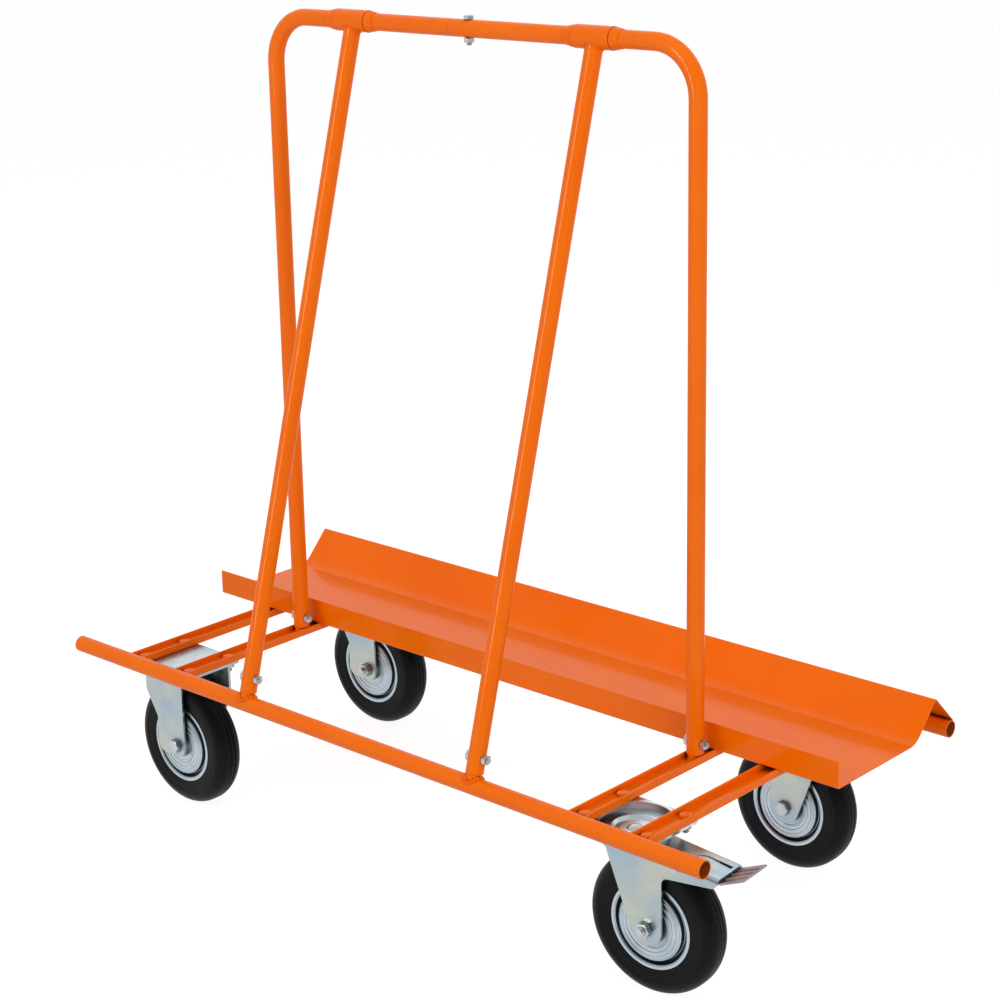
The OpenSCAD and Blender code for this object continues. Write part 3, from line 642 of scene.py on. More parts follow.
@dataclass(frozen=True)
class ZincSheet:
    """Bright zinc electroplate on cold-rolled sheet, blue passivated.

    Pale satin metal with a cool cast that drifts to straw, faint rolling lines along the sheet, cloudy
    roughness from the plating bath, a painted highlight along edges and painted shade in dull grey in
    corners.
    """

    name: str = "zinc_electroplate_blue_passivated_on_rolled_sheet"
    cool: str = "#9DAFBC"
    warm: str = "#B7BBB0"
    cast_mm: float = 70.0
    cast_from: float = 0.38
    cast_to: float = 0.66
    # Painted highlight along edges
    edge: str = "#DCE2E4"
    edge_mm: float = 0.7
    # Painted shade in corners and gaps
    corner: str = "#33383B"
    corner_mm: float = 9.0
    corner_open: float = 0.8
    bath_mm: float = 16.0
    # Real rolling lines are finer; drawn as wide as shows, and drawn out along the height
    rolling_mm: float = 2.2
    rolling_stretch: float = 0.06
    rolling_depth_mm: float = 0.03
    rolling_strength: float = 0.08
    low_rough: float = 0.24
    high_rough: float = 0.4

    def make(self) -> bpy.types.Material:
        """Builds the nodes of the finish.

        Returns:
            The finished material.
        """
        material, tree = start_material(self.name)
        place = add(tree, "TexCoord").outputs["Object"]
        cast = add(tree, "TexNoise", {"Vector": place, "Scale": per_mm(self.cast_mm), "Detail": 2.0})
        drift = add(tree, "MapRange", {"Value": cast, "From Min": self.cast_from, "From Max": self.cast_to})
        tone = add(tree, "Mix", {0: drift, 6: linear(self.cool), 7: linear(self.warm)}, data_type="RGBA")
        rim, soft = edges(tree, self.edge_mm)
        # Painted highlight along sharp edges
        edge_lit = add(tree, "Mix", {0: rim, 6: tone, 7: linear(self.edge)}, data_type="RGBA")
        # Painted shade in corners
        deep = corner_shade(tree, self.corner_mm, self.corner_open)
        colour = add(tree, "Mix", {0: deep, 6: edge_lit, 7: linear(self.corner)}, data_type="RGBA")
        bath = add(
            tree, "TexNoise",
            {"Vector": place, "Scale": per_mm(self.bath_mm), "Detail": 4.0, "Roughness": 0.6},
        )
        rough = add(
            tree, "MapRange",
            {"Value": bath, **NOISE_SPAN, "To Min": self.low_rough, "To Max": self.high_rough},
        )
        along = add(tree, "Mapping", {"Vector": place, "Scale": (1.0, 1.0, self.rolling_stretch)})
        rolling = add(tree, "TexNoise", {"Vector": along, "Scale": per_mm(self.rolling_mm), "Detail": 2.0})
        depth = {"Strength": self.rolling_strength, "Distance": self.rolling_depth_mm * MM}
        bump = add(tree, "Bump", {"Height": rolling, **depth, "Normal": soft})
        metal = add(
            tree, "BsdfPrincipled",
            {"Base Color": colour, "Roughness": rough, "Normal": bump, "Metallic": 1.0},
        )
        add(tree, "OutputMaterial", {"Surface": metal})
        return material


class Axis(Enum):
    """Which way the axle of a spun part points, by the two coordinates across it."""

    LEVEL = ("X", "Z")
    UPRIGHT = ("X", "Y")


@dataclass(frozen=True)
class SpunZinc:
    """Bright zinc electroplate on a part that was pressed and spun.

    Fine rings round the axle from the spinning tool, which stretch the light into a fan, on a pale cool
    metal; painted shade as a dark line at the foot of each pressed step; a band of painted shade in a
    groove, where one is given.
    """

    name: str
    centre: tuple[float, float, float]
    yaw: float = 0.0
    axis: Axis = Axis.LEVEL
    cool: str = "#A3B2BE"
    pale: str = "#CDD5DB"
    cloud_mm: float = 30.0
    # Painted shade in corners and gaps
    corner: str = "#2B3238"
    corner_mm: float = 7.0
    corner_open: float = 0.8
    edge_mm: float = 0.5
    # Rings of the spinning tool are about 0.3 mm apart; drawn coarser so that they show
    ring_mm: float = 2.4
    ring_depth_mm: float = 0.05
    ring_strength: float = 0.12
    # Painted shade lines for the pressed steps of the disc: their distance, and the half width of a line and
    # of its core
    step_shade: str = "#3E4A54"
    line_mm: float = 5.2
    line_half_mm: float = 0.9
    line_core_mm: float = 0.3
    line_depth: float = 0.85
    # The lines fade out where the rings' noise rises over this span
    line_faint: float = 0.7
    line_clear: float = 0.35
    # Painted shade in a groove, between the two radii below
    groove_shade: str = "#131C24"
    dark_from_mm: float = 0.0
    dark_to_mm: float = 0.0
    dark_fade_mm: float = 0.3
    low_rough: float = 0.3
    high_rough: float = 0.42

    def make(self) -> bpy.types.Material:
        """Builds the nodes of the finish.

        Returns:
            The finished material.
        """
        material, tree = start_material(self.name)
        place = add(tree, "TexCoord").outputs["Object"]
        middle = {"Location": tuple(v * MM for v in self.centre), "Rotation": (0.0, 0.0, self.yaw)}
        local = add(tree, "Mapping", {"Vector": place, **middle}, vector_type="TEXTURE")
        part = add(tree, "SeparateXYZ", {0: local})
        first, second = self.axis.value
        flat = add(tree, "CombineXYZ", {0: part.outputs[first], 1: part.outputs[second]})
        reach = add(tree, "VectorMath", {0: flat}, operation="LENGTH")
        rings = add(
            tree, "TexNoise", {"W": reach, "Scale": per_mm(self.ring_mm), "Detail": 3.0, "Roughness": 0.7},
            noise_dimensions="1D",
        )
        cloud = add(tree, "TexNoise", {"Vector": place, "Scale": per_mm(self.cloud_mm), "Detail": 3.0})
        tone = add(tree, "Mix", {0: cloud, 6: linear(self.cool), 7: linear(self.pale)}, data_type="RGBA")
        # Painted shade: a dark line every line_mm across the radius, faded where the rings' noise rises
        step = add(tree, "Math", {0: reach, 1: self.line_mm / 2 * MM}, operation="PINGPONG")
        width = {"From Min": self.line_half_mm * MM, "From Max": self.line_core_mm * MM}
        thin = add(
            tree, "MapRange", {"Value": step, **width, "To Max": self.line_depth},
            interpolation_type="SMOOTHSTEP",
        )
        uneven = add(
            tree, "MapRange", {"Value": rings, "From Min": self.line_faint, "From Max": self.line_clear}
        )
        step_shade_mask = add(tree, "Math", {0: thin, 1: uneven}, operation="MULTIPLY")
        step_shaded = add(tree, "Mix", {0: step_shade_mask, 6: tone, 7: linear(self.step_shade)}, data_type="RGBA")
        # Painted shade in corners
        deep = corner_shade(tree, self.corner_mm, self.corner_open)
        shade = add(tree, "Mix", {0: deep, 6: step_shaded, 7: linear(self.corner)}, data_type="RGBA")
        # Painted shade: a dark band between dark_from_mm and dark_to_mm
        inside, outside = [
            add(
                tree, "MapRange",
                {"Value": reach, "From Min": (limit - fade) * MM, "From Max": (limit + fade) * MM},
                interpolation_type="SMOOTHSTEP",
            )
            for limit, fade in ((self.dark_from_mm, self.dark_fade_mm), (self.dark_to_mm, -self.dark_fade_mm))
        ]
        band = add(tree, "Math", {0: inside, 1: outside}, operation="MULTIPLY")
        colour = add(tree, "Mix", {0: band, 6: shade, 7: linear(self.groove_shade)}, data_type="RGBA")
        rough = add(
            tree, "MapRange",
            {"Value": rings, **NOISE_SPAN, "To Min": self.low_rough, "To Max": self.high_rough},
        )
        _, soft = edges(tree, self.edge_mm)
        depth = {"Strength": self.ring_strength, "Distance": self.ring_depth_mm * MM}
        bump = add(tree, "Bump", {"Height": rings, **depth, "Normal": soft})
        metal = add(
            tree, "BsdfPrincipled",
            {"Base Color": colour, "Roughness": rough, "Normal": bump, "Metallic": 1.0},
        )
        add(tree, "OutputMaterial", {"Surface": metal})
        return material


@dataclass(frozen=True)
class Rubber:
    """Solid black rubber tyre, compression moulded.

    Near-black with a satin sheen from the mould, faint grey bloom in patches, and a fine grain.
    """

    name: str = "black_rubber_compression_moulded"
    black: str = "#050506"
    bloom: str = "#0D0D0E"
    bloom_mm: float = 22.0
    bloom_from: float = 0.4
    bloom_to: float = 0.75
    # The real grain is a tenth of this, too fine to show
    grain_mm: float = 1.4
    grain_depth_mm: float = 0.05
    grain_strength: float = 0.15
    low_rough: float = 0.36
    high_rough: float = 0.5
    ior: float = 1.5
    gloss: float = 0.12

    def make(self) -> bpy.types.Material:
        """Builds the nodes of the finish.

        Returns:
            The finished material.
        """
        material, tree = start_material(self.name)
        place = add(tree, "TexCoord").outputs["Object"]
        patch = add(
            tree, "TexNoise",
            {"Vector": place, "Scale": per_mm(self.bloom_mm), "Detail": 5.0, "Roughness": 0.6},
        )
        tone = add(tree, "MapRange", {"Value": patch, "From Min": self.bloom_from, "From Max": self.bloom_to})
        colour = add(tree, "Mix", {0: tone, 6: linear(self.black), 7: linear(self.bloom)}, data_type="RGBA")
        rough = add(
            tree, "MapRange",
            {"Value": patch, **NOISE_SPAN, "To Min": self.low_rough, "To Max": self.high_rough},
        )
        grain = add(tree, "TexNoise", {"Vector": place, "Scale": per_mm(self.grain_mm), "Detail": 2.0})
        depth = {"Strength": self.grain_strength, "Distance": self.grain_depth_mm * MM}
        bump = add(tree, "Bump", {"Height": grain, **depth})
        skin = add(
            tree, "BsdfPrincipled",
            {"Base Color": colour, "Roughness": rough, "Normal": bump, "IOR": self.ior,
             "Specular IOR Level": self.gloss},
        )
        add(tree, "OutputMaterial", {"Surface": skin})
        return material


class Finishes:
    """The cart's materials, made once and shared by its sub-assemblies."""

    def __init__(self) -> None:
        """Makes the materials."""
        self.paint = PowderCoat().make()
        self.rail = PowderCoat(name="polyester_powder_coat_on_open_tube", bore_mm=11.1).make()
        # Swaged tube ends are a little wavy, which dulls the film
        self.collar = PowderCoat(name="polyester_powder_coat_on_swaged_collar", skin_rough=0.4).make()
        # Its corner colour is painted shade round the beads and the painted bolt heads
        self.weld = PowderCoat(
            name="polyester_powder_coat_over_weld", deep="#EA6000", bright="#F47002", corner="#B04200",
            peel_mm=2.4, peel_depth_mm=0.3,
        ).make()
        # Each zinc finish paints a highlight along edges in its edge colour and shade in corners in its
        # corner colour
        self.sheet = ZincSheet().make()
        self.fastener = ZincSheet(
            name="zinc_electroplate_on_cold_headed_steel", cool="#B4BEC4", warm="#C9C8BE", edge="#E6E9EA",
            corner="#7C8286", cast_mm=9.0, bath_mm=4.0, rolling_mm=1.6, low_rough=0.3, high_rough=0.42,
            edge_mm=0.35,
        ).make()
        self.bearing = ZincSheet(
            name="bearing_steel_ground", cool="#8E9499", warm="#A3A4A2", edge="#B8BDC0", cast_mm=12.0,
            bath_mm=5.0, rolling_mm=0.8, low_rough=0.16, high_rough=0.26,
        ).make()
        self.pedal = ZincSheet(
            name="zinc_electroplate_iridescent_on_pressed_sheet", cool="#8D858B", warm="#A4979A",
            edge="#DAD4D6", cast_mm=26.0, bath_mm=9.0, rolling_mm=2.0, low_rough=0.24, high_rough=0.38,
        ).make()
        self.rubber = Rubber().make()


# Sub-assemblies


@dataclass
class SubAssembly:
    """A group of the cart's pieces, made or dressed together."""

    finishes: Finishes

    def build(self) -> None:
        """Makes the group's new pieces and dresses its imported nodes."""
        raise NotImplementedError


@dataclass
class Base(SubAssembly):
    """Rails, channels, tray, hoop and legs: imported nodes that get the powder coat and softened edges."""

    rails: tuple[str, ...] = ("front_rail", "rear_rail")
    tubes: tuple[str, ...] = (
        "left_hoop", "right_hoop", "left_leg", "right_leg", "left_sleeve", "right_sleeve", "hoop_splice",
        "hoop_spigots", "leg_spigots",
    )
    collars: tuple[str, ...] = ("stop_collars",)
    sheets: tuple[str, ...] = (
        "left_outer_bar", "left_inner_bar", "right_inner_bar", "right_outer_bar", "tray",
    )
    sheet_edge_mm: float = 0.45

    def build(self) -> None:
        """Dresses the nodes."""
        dress(self.rails, self.finishes.rail)
        dress(self.tubes, self.finishes.paint)
        dress(self.collars, self.finishes.collar)
        dress(self.sheets, self.finishes.paint, self.sheet_edge_mm)


@dataclass
class Welds(SubAssembly):
    """Weld beads under the paint, at the joints of the base, the legs and the tray."""

    bars_x: tuple[float, ...] = (-503.0, -CART.hoop_x, CART.hoop_x, 503.0)
    bar_half: float = 15.0
    bar_low: float = 236.0
    bar_top: float = 247.0
    # A channel's bead stops this far under its open top
    bar_stop: float = 1.0
    spigot_r: float = 10.65
    # The bead of a leg's foot lies this far outside the spigot
    foot_out: float = 0.9
    sleeve_r: float = 16.0
    # Stitches along the edge of the tray's flange on the rear rail
    flange_y: float = 297.5
    flange_z: float = 252.0
    flange_end_x: float = 580.0
    flange_stitches: int = 9
    flange_stitch_half: float = 16.0
    # Stitches under the tray floor, along both sides of each channel
    floor_stitches_y: tuple[float, ...] = (24.0, 150.0)
    floor_stitch: float = 26.0
    floor_drop: float = 0.6
    bead_r: float = 1.9
    ripple_mm: float = 2.4
    ripple_share: float = 0.14
    # The higher, the shorter the taper at a bead's open ends
    taper_power: int = 8
    # Points along a ring, a spigot's ring, a channel's wall and web, and a stitch
    ring_points: int = 240
    spigot_points: int = 160
    wall_points: int = 60
    web_points: int = 120
    stitch_points: int = 120
    # Radius of each kind of bead, as a share of the full one
    foot_share: float = 1.7
    sleeve_share: float = 1.0
    spigot_share: float = 0.75
    bar_share: float = 0.85
    flange_share: float = 0.95
    floor_share: float = 0.8

    def swell(self, path: np.ndarray, closed: bool, share: float) -> np.ndarray:
        """Radius along a bead: a ripple for each puddle of weld, drawn in to nothing at open ends.

        Args:
            path: points of the bead.
            closed: the bead runs back to its first point.
            share: share of the full bead radius; larger beads have longer and deeper ripples.

        Returns:
            Radius at each point.
        """
        steps = np.linalg.norm(np.diff(path, axis=0), axis=1)
        length = np.concatenate([[0.0], np.cumsum(steps)])
        turns = max(1, round(length[-1] / (self.ripple_mm * share)))
        ripple = 1 + self.ripple_share * share * np.cos(FULL_TURN * turns * length / length[-1])
        s = 2 * length / length[-1] - 1
        taper = 1.0 if closed else np.sqrt(np.clip(1 - s ** self.taper_power, 0, 1))
        return self.bead_r * share * ripple * taper

    def ring(self, pipe: float, host: float, far: bool, side: float, share: float) -> Shell:
        """Bead round a leg where it meets a tube across it: its height over that axis is sqrt(host^2 - y^2).

        Args:
            pipe: radius of the ring.
            host: radius of the tube that the ring sits on.
            far: at the leg's upper end instead of its foot.
            side: -1 for the left leg, 1 for the right.
            share: share of the full bead radius.

        Returns:
            The bead in the cart's frame.
        """
        t = np.linspace(0, FULL_TURN, self.ring_points, endpoint=False)
        span = math.hypot(CART.leg_rise, CART.leg_run)
        height = np.sqrt(host ** 2 - (pipe * np.sin(t)) ** 2)
        path = np.stack([pipe * np.cos(t), pipe * np.sin(t), span - height if far else height], axis=1)
        rake = Matrix.Rotation(-CART.rake, 4, "X")
        place = Matrix.Translation((side * CART.leg_x, -CART.rail_y, CART.rail_z))
        shell = bead(path, self.swell(path, True, share), (0.0, 0.0, 1.0), True)
        return shell.placed(np.array(place @ rake))

    def spigot(self, side: float) -> Shell:
        """Bead round a hoop spigot on its channel, a level circle.

        Args:
            side: -1 for the left spigot, 1 for the right.

        Returns:
            The bead in the cart's frame.
        """
        t = np.linspace(0, FULL_TURN, self.spigot_points, endpoint=False)
        x = side * CART.hoop_x + self.spigot_r * np.cos(t)
        y = CART.hoop_y + self.spigot_r * np.sin(t)
        path = np.stack([x, y, CART.web_top + 0 * t], axis=1)
        return bead(path, self.swell(path, True, self.spigot_share), (0.0, 0.0, 1.0), True)

    def bar_end(self, x: float, side: float) -> Shell:
        """Bead round a channel where it is coped to a rail: y = rail - sqrt(r^2 - (z - rail)^2).

        Args:
            x: middle of the channel.
            side: -1 at the front rail, 1 at the rear rail.

        Returns:
            The bead in the cart's frame.
        """
        s = np.linspace(0, 1, self.wall_points)
        web = np.linspace(-1, 1, self.web_points + 2)[1:-1]
        wall = self.bar_low + (self.bar_top - self.bar_stop - self.bar_low) * s
        z = np.concatenate([wall[::-1], self.bar_low + 0 * web, wall])
        out = np.concatenate([0 * s - 1, web, 0 * s + 1])
        y = side * (CART.rail_y - np.sqrt(CART.tube_r ** 2 - (z - CART.rail_z) ** 2))
        path = np.stack([x + self.bar_half * out, y, z], axis=1)
        return bead(path, self.swell(path, False, self.bar_share), (0.0, 1.0, 0.0), False)

    def stitch(
        self, start: tuple[float, float, float], run: tuple[float, float, float], share: float
    ) -> Shell:
        """Short straight bead: the points start + s run for s from 0 to 1.

        Args:
            start: first point in millimetres.
            run: the way to the last point.
            share: share of the full bead radius.

        Returns:
            The bead in the cart's frame.
        """
        s = np.linspace(0, 1, self.stitch_points)[:, None]
        path = np.array(start) + s * np.array(run)
        return bead(path, self.swell(path, False, share), (0.0, 0.0, 1.0), False)

    def build(self) -> None:
        """Makes all the beads and dresses them."""
        foot_r = self.spigot_r + self.foot_out
        rings = [self.ring(foot_r, CART.tube_r, False, side, self.foot_share) for side in SIDES]
        rings += [self.ring(CART.tube_r, self.sleeve_r, True, side, self.sleeve_share) for side in SIDES]
        rings += [self.spigot(side) for side in SIDES]
        add_piece("leg_and_foot_welds", join(rings), self.finishes.weld, "frame", Slot.PAINT)
        ends = [self.bar_end(x, side) for x in self.bars_x for side in SIDES]
        add_piece("channel_welds", join(ends), self.finishes.weld, "frame", Slot.PAINT)
        half = self.flange_stitch_half
        rows = [
            self.stitch((x - half, self.flange_y, self.flange_z), (2 * half, 0.0, 0.0), self.flange_share)
            for x in np.linspace(-self.flange_end_x, self.flange_end_x, self.flange_stitches).tolist()
        ]
        floor_z = self.bar_top - self.floor_drop
        floor_run = (0.0, self.floor_stitch, 0.0)
        rows += [
            self.stitch((x + side * self.bar_half, y, floor_z), floor_run, self.floor_share)
            for x in self.bars_x for side in SIDES for y in self.floor_stitches_y
        ]
        add_piece("tray_welds", join(rows), self.finishes.weld, "frame", Slot.PAINT)


@dataclass
class FrameBolts(SubAssembly):
    """Five M8 bolts of the hoop and the legs, with domed or hexagon heads, nuts and thread ends."""

    screw: Screw = FRAME_SCREW
    # Heads and nuts seat this far from a tube's axis, on its paint
    seat_r: float = 12.7
    head_r: float = 8.5
    head_h: float = 4.5
    # Height of the straight wall round the foot of a dome
    wall_h: float = 1.6
    saddle: float = 9.4
    hex_h: float = 5.5
    hoop_bolt_z: float = 263.8
    # Place of a leg's bolt along the leg
    leg_bolt: float = 39.5
    dome_points: int = 14

    def dome(self) -> Shell:
        """Domed head on a saddle: an arc of a sphere over a straight wall, turned round Z.

        Returns:
            The head with its bolt along Z and the tube's axis through the origin.
        """
        ball = (self.head_r ** 2 + self.head_h ** 2) / (2 * self.head_h)
        t = np.linspace(0, math.asin(self.head_r / ball), self.dome_points)
        sag = (ball - ball * np.cos(t)) * (1 - self.wall_h / self.head_h)
        arc = np.stack([ball * np.sin(t), -self.seat_r - self.head_h + sag], axis=1)
        foot = np.array([[self.head_r, -self.saddle], [0.0, -self.saddle]])
        return turned(np.concatenate([arc, foot]))

    def build(self) -> None:
        """Makes the five bolts with their nuts."""
        leg_y = -CART.rail_y + self.leg_bolt * math.sin(CART.rake)
        leg_z = CART.rail_z + self.leg_bolt * math.cos(CART.rake)
        feet = [(side * CART.hoop_x, CART.hoop_y, self.hoop_bolt_z) for side in SIDES]
        feet += [(side * CART.leg_x, leg_y, leg_z) for side in SIDES]
        places = [turn_to(Way.RIGHT, foot) for foot in feet]
        top = turn_to(Way.DOWN, (0.0, CART.hoop_y, CART.top_z))
        heads = [self.dome().placed(place) for place in places]
        heads.append(hexagon(self.screw.across, -self.seat_r - self.hex_h, -self.seat_r).placed(top))
        metal = self.finishes.fastener
        add_piece("frame_bolt_heads", join(heads), metal, "frame", Slot.FASTENER, ("frame_bolts",))
        nut = join([self.screw.nut(self.seat_r), self.screw.end(self.seat_r)])
        nuts = [nut.placed(place) for place in places + [top]]
        add_piece("frame_bolt_nuts", join(nuts), metal, "frame", Slot.FASTENER, ("frame_nuts",))


@dataclass
class CasterBolts(SubAssembly):
    """Sixteen M10 bolts of the caster plates: painted heads in the channels, plain nuts and thread ends."""

    screw: Screw = CASTER_SCREW
    pitch_x: float = 105.0
    pitch_y: float = 80.0
    head_h: float = 5.0
    plate_under: float = 232.0

    def build(self) -> None:
        """Makes the heads and the nuts."""
        holes = [
            (x + side_x * self.pitch_x / 2, y + side_y * self.pitch_y / 2, 0.0)
            for x, y in (corner.plate for corner in Corner) for side_x in SIDES for side_y in SIDES
        ]
        head = hexagon(self.screw.across, CART.web_top, CART.web_top + self.head_h, both=False)
        heads = [head.placed(turn_to(Way.UP, hole)) for hole in holes]
        paint, metal = self.finishes.weld, self.finishes.fastener
        add_piece("caster_bolt_heads", join(heads), paint, "frame", Slot.PAINT, ("caster_bolts",))
        nut = join([self.screw.nut(-self.plate_under), self.screw.end(-self.plate_under)])
        nuts = [nut.placed(turn_to(Way.DOWN, hole)) for hole in holes]
        add_piece("caster_bolt_nuts", join(nuts), metal, "frame", Slot.FASTENER, ("caster_nuts",))


@dataclass
class CasterHousings(SubAssembly):
    """Brackets, swivel plates, forks and brakes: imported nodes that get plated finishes."""

    dish_cool: str = "#B8C3CB"
    dish_pale: str = "#DDE3E7"
    dish_ring_mm: float = 4.0
    dish_low_rough: float = 0.24
    dish_high_rough: float = 0.36

    def build(self) -> None:
        """Dresses the nodes."""
        for corner in Corner:
            name = corner.words
            if not corner.swivels:
                dress((name + "_bracket",), self.finishes.sheet)
                continue
            # The dish's finish paints dark shade lines across it and shade in its corners
            dish = SpunZinc(
                "zinc_electroplate_on_pressed_dish_" + name, (*corner.plate, 0.0), axis=Axis.UPRIGHT,
                cool=self.dish_cool, pale=self.dish_pale, ring_mm=self.dish_ring_mm,
                low_rough=self.dish_low_rough, high_rough=self.dish_high_rough,
            )
            dress((name + "_plate",), dish.make())
            dress((name + "_fork",), self.finishes.sheet)
            dress((name + "_king_pin", name + "_brake_pin"), self.finishes.fastener)
            dress((name + "_balls",), self.finishes.bearing)
            dress((name + "_brake_lever",), self.finishes.pedal)


@dataclass
class Wheel(SubAssembly):
    """One wheel with its axle: moulded tyre, spun rim, hub, bolt head, nut and thread end."""

    corner: Corner
    # How far the axle of a swivel caster trails its king pin
    trail: float = 37.0
    tyre_r: float = 100.0
    tyre_half: float = 23.0
    shoulder_r: float = 19.0
    # Play between the tyre and the rim
    play: float = 0.05
    # How full the side wall bulges; 1 is a straight line
    bulge: float = 0.7
    line_radii: tuple[float, ...] = (66.5, 76.0, 79.0)
    line_half: float = 0.55
    line_depth: float = 0.4
    groove_a: float = 3.5
    groove_w: float = 1.4
    groove_d: float = 1.2
    groove_wall: float = 0.4
    rim_r: float = 62.0
    seat_r: float = 58.0
    sheet: float = 2.4
    flange_a: float = 20.8
    groove_floor_a: float = 13.4
    disc_r: float = 49.4
    disc_a: float = 22.5
    hub_r: float = 18.05
    rib_shares: tuple[float, ...] = (0.38, 0.61, 0.84)
    rib_foot_half: float = 1.6
    rib_top_half: float = 0.6
    rib_h: float = 1.0
    # Radii of the rim's corners: at the hub, of each rib, and from the disc's edge out to the seat
    hub_round: float = 0.3
    rib_rounds: tuple[float, ...] = (1.2, 0.6, 0.6, 1.2)
    rim_rounds: tuple[float, ...] = (2.6, 1.6, 1.6, 2.2, 0.9, 0.9, 0.6)
    # The painted shade in the rim's groove starts this far outside the disc
    groove_shade_out: float = 1.4
    fork_out: float = 31.0
    screw: Screw = AXLE_SCREW
    axle_head_h: float = 7.5
    # Points along the tyre's side wall, shoulder and half tread, and on each round corner of the rim
    wall_points: int = 70
    shoulder_points: int = 120
    tread_points: int = 40
    round_points: int = 7
    # Angles drawn round the tyre and round the rim
    tyre_steps: int = 192
    rim_steps: int = 160

    @property
    def centre(self) -> tuple[float, float, float]:
        """Middle of the wheel, behind its king pin if it has one.

        Returns:
            Its x, y and z in millimetres.
        """
        x, y = self.corner.plate
        trail = self.trail if self.corner.swivels else 0.0
        return x + trail * math.cos(self.corner.yaw), y + trail * math.sin(self.corner.yaw), CART.axle_z

    def placed(self, shell: Shell) -> Shell:
        """Lays a surface that is drawn round Z at the origin along this wheel's axle.

        Args:
            shell: the surface as drawn.

        Returns:
            The surface in the cart's frame.
        """
        lay = Matrix.Rotation(math.radians(-90), 4, "X")
        turn = Matrix.Rotation(self.corner.yaw, 4, "Z")
        return shell.placed(np.array(Matrix.Translation(self.centre) @ turn @ lay))

    def tyre_profile(self) -> np.ndarray:
        """Outline of the tyre: seat, side walls with fine moulded lines, round shoulders, two tread grooves.

        The outer side is a bulging curve from the rim to the shoulder and then a quarter circle; each fine
        line and each groove is a dip in the width or the radius with a bell or box shape.

        Returns:
            Array of (radius, place along the axle) points.
        """
        half, belly = self.tyre_half, self.tyre_r - self.shoulder_r
        seat_a = self.flange_a - self.sheet - self.play
        seat_r = self.seat_r + self.play
        foot = self.rim_r + self.play
        r = np.linspace(foot, belly, self.wall_points)
        a = self.flange_a + (half - self.flange_a) * ((r - foot) / (belly - foot)) ** self.bulge
        lines = sum(np.exp(-(((r - at) / self.line_half) ** 2)) for at in self.line_radii)
        wall = np.stack([r, a - self.line_depth * lines], axis=1)
        t = np.linspace(0, math.pi / 2, self.shoulder_points)[1:]
        arc_a = half - self.shoulder_r * (1 - np.cos(t))
        arc = np.stack([belly + self.shoulder_r * np.sin(t), arc_a], axis=1)
        flat_a = np.linspace(half - self.shoulder_r, 0, self.tread_points + 1)[1:]
        flat = np.stack([self.tyre_r + 0 * flat_a, flat_a], axis=1)
        side = np.concatenate([wall, arc, flat])
        inside = (self.groove_w + self.groove_wall) / 2 - np.abs(side[:, 1] - self.groove_a)
        dip = np.clip(inside / self.groove_wall, 0, 1)
        side[:, 0] -= np.where(side[:, 0] > belly, self.groove_d * dip, 0)
        mirror = side[::-1] * (1, -1)
        start = np.array([[seat_r, -seat_a], [seat_r, seat_a], [foot, seat_a]])
        end = np.array([[foot, -seat_a]])
        return np.concatenate([start, side, mirror[1:], end])

    def rim_profile(self) -> np.ndarray:
        """Outline of the rim: ribbed discs, round edges, deep grooves, rolled flanges and the tyre's seat.

        Returns:
            Array of (radius, place along the axle) points.
        """
        foot, top = self.rib_foot_half, self.rib_top_half
        rib = np.array([[-foot, 0.0], [-top, self.rib_h], [top, self.rib_h], [foot, 0.0]])
        band = self.disc_r - self.hub_r
        ribs = [rib + (self.hub_r + share * band, self.disc_a) for share in self.rib_shares]
        seat_in = self.seat_r - self.sheet
        flange_in = self.flange_a - self.sheet
        channel = [
            [self.disc_r, self.disc_a], [self.disc_r, self.groove_floor_a], [seat_in, self.groove_floor_a],
            [seat_in, self.flange_a], [self.rim_r, self.flange_a], [self.rim_r, flange_in],
            [self.seat_r, flange_in],
        ]
        side = np.concatenate([[[self.hub_r, self.disc_a]], *ribs, channel])
        radii = np.array([self.hub_round, *self.rib_rounds * len(ribs), *self.rim_rounds])
        corners = np.concatenate([side, side[::-1] * (1, -1)])
        return rounded(corners, np.concatenate([radii, radii[::-1]]), self.round_points)

    def build(self) -> None:
        """Makes the wheel's pieces and dresses its packed hub and spacer."""
        name = self.corner.words
        body = name + "_wheel"
        # The rim's finish paints shade in its groove and dark shade lines across its discs
        spun = SpunZinc(
            "zinc_electroplate_on_spun_disc_" + name, self.centre, self.corner.yaw,
            dark_from_mm=self.disc_r + self.groove_shade_out, dark_to_mm=self.seat_r - self.sheet,
        ).make()
        tyre = self.placed(turned(self.tyre_profile(), self.tyre_steps, True))
        add_piece(name + "_moulded_tyre", tyre, self.finishes.rubber, body, Slot.RUBBER, (name + "_tyre",))
        rim = self.placed(turned(self.rim_profile(), self.rim_steps, True))
        add_piece(name + "_spun_rim", rim, spun, body, Slot.RIM, (name + "_rim",))
        dress((name + "_hub",), spun)
        dress((name + "_spacer",), self.finishes.bearing)
        # In the caster's own frame the bolt's head is at +Y on a swivel caster and at -Y on a rigid one
        way = 1 if self.corner.swivels else -1
        head_end = np.array(Matrix.Diagonal((1, 1, way, 1)))
        nut_end = np.array(Matrix.Diagonal((1, 1, -way, 1)))
        head = hexagon(self.screw.across, self.fork_out, self.fork_out + self.axle_head_h).placed(head_end)
        bolt = self.placed(join([head, self.screw.end(self.fork_out).placed(nut_end)]))
        nut = self.placed(self.screw.nut(self.fork_out).placed(nut_end))
        metal = self.finishes.fastener
        holder = name + "_swivel" if self.corner.swivels else "frame"
        add_piece(name + "_axle_bolt", bolt, metal, holder, Slot.FASTENER, (name + "_axle",))
        add_piece(name + "_axle_end_nut", nut, metal, holder, Slot.FASTENER, (name + "_axle_nut",))


# Studio


class Lights(Enum):
    """What a lamp acts on: the matt body of surfaces, or their gloss alone as a strip that draws streaks."""

    MATT = "matt"
    GLOSS = "gloss"


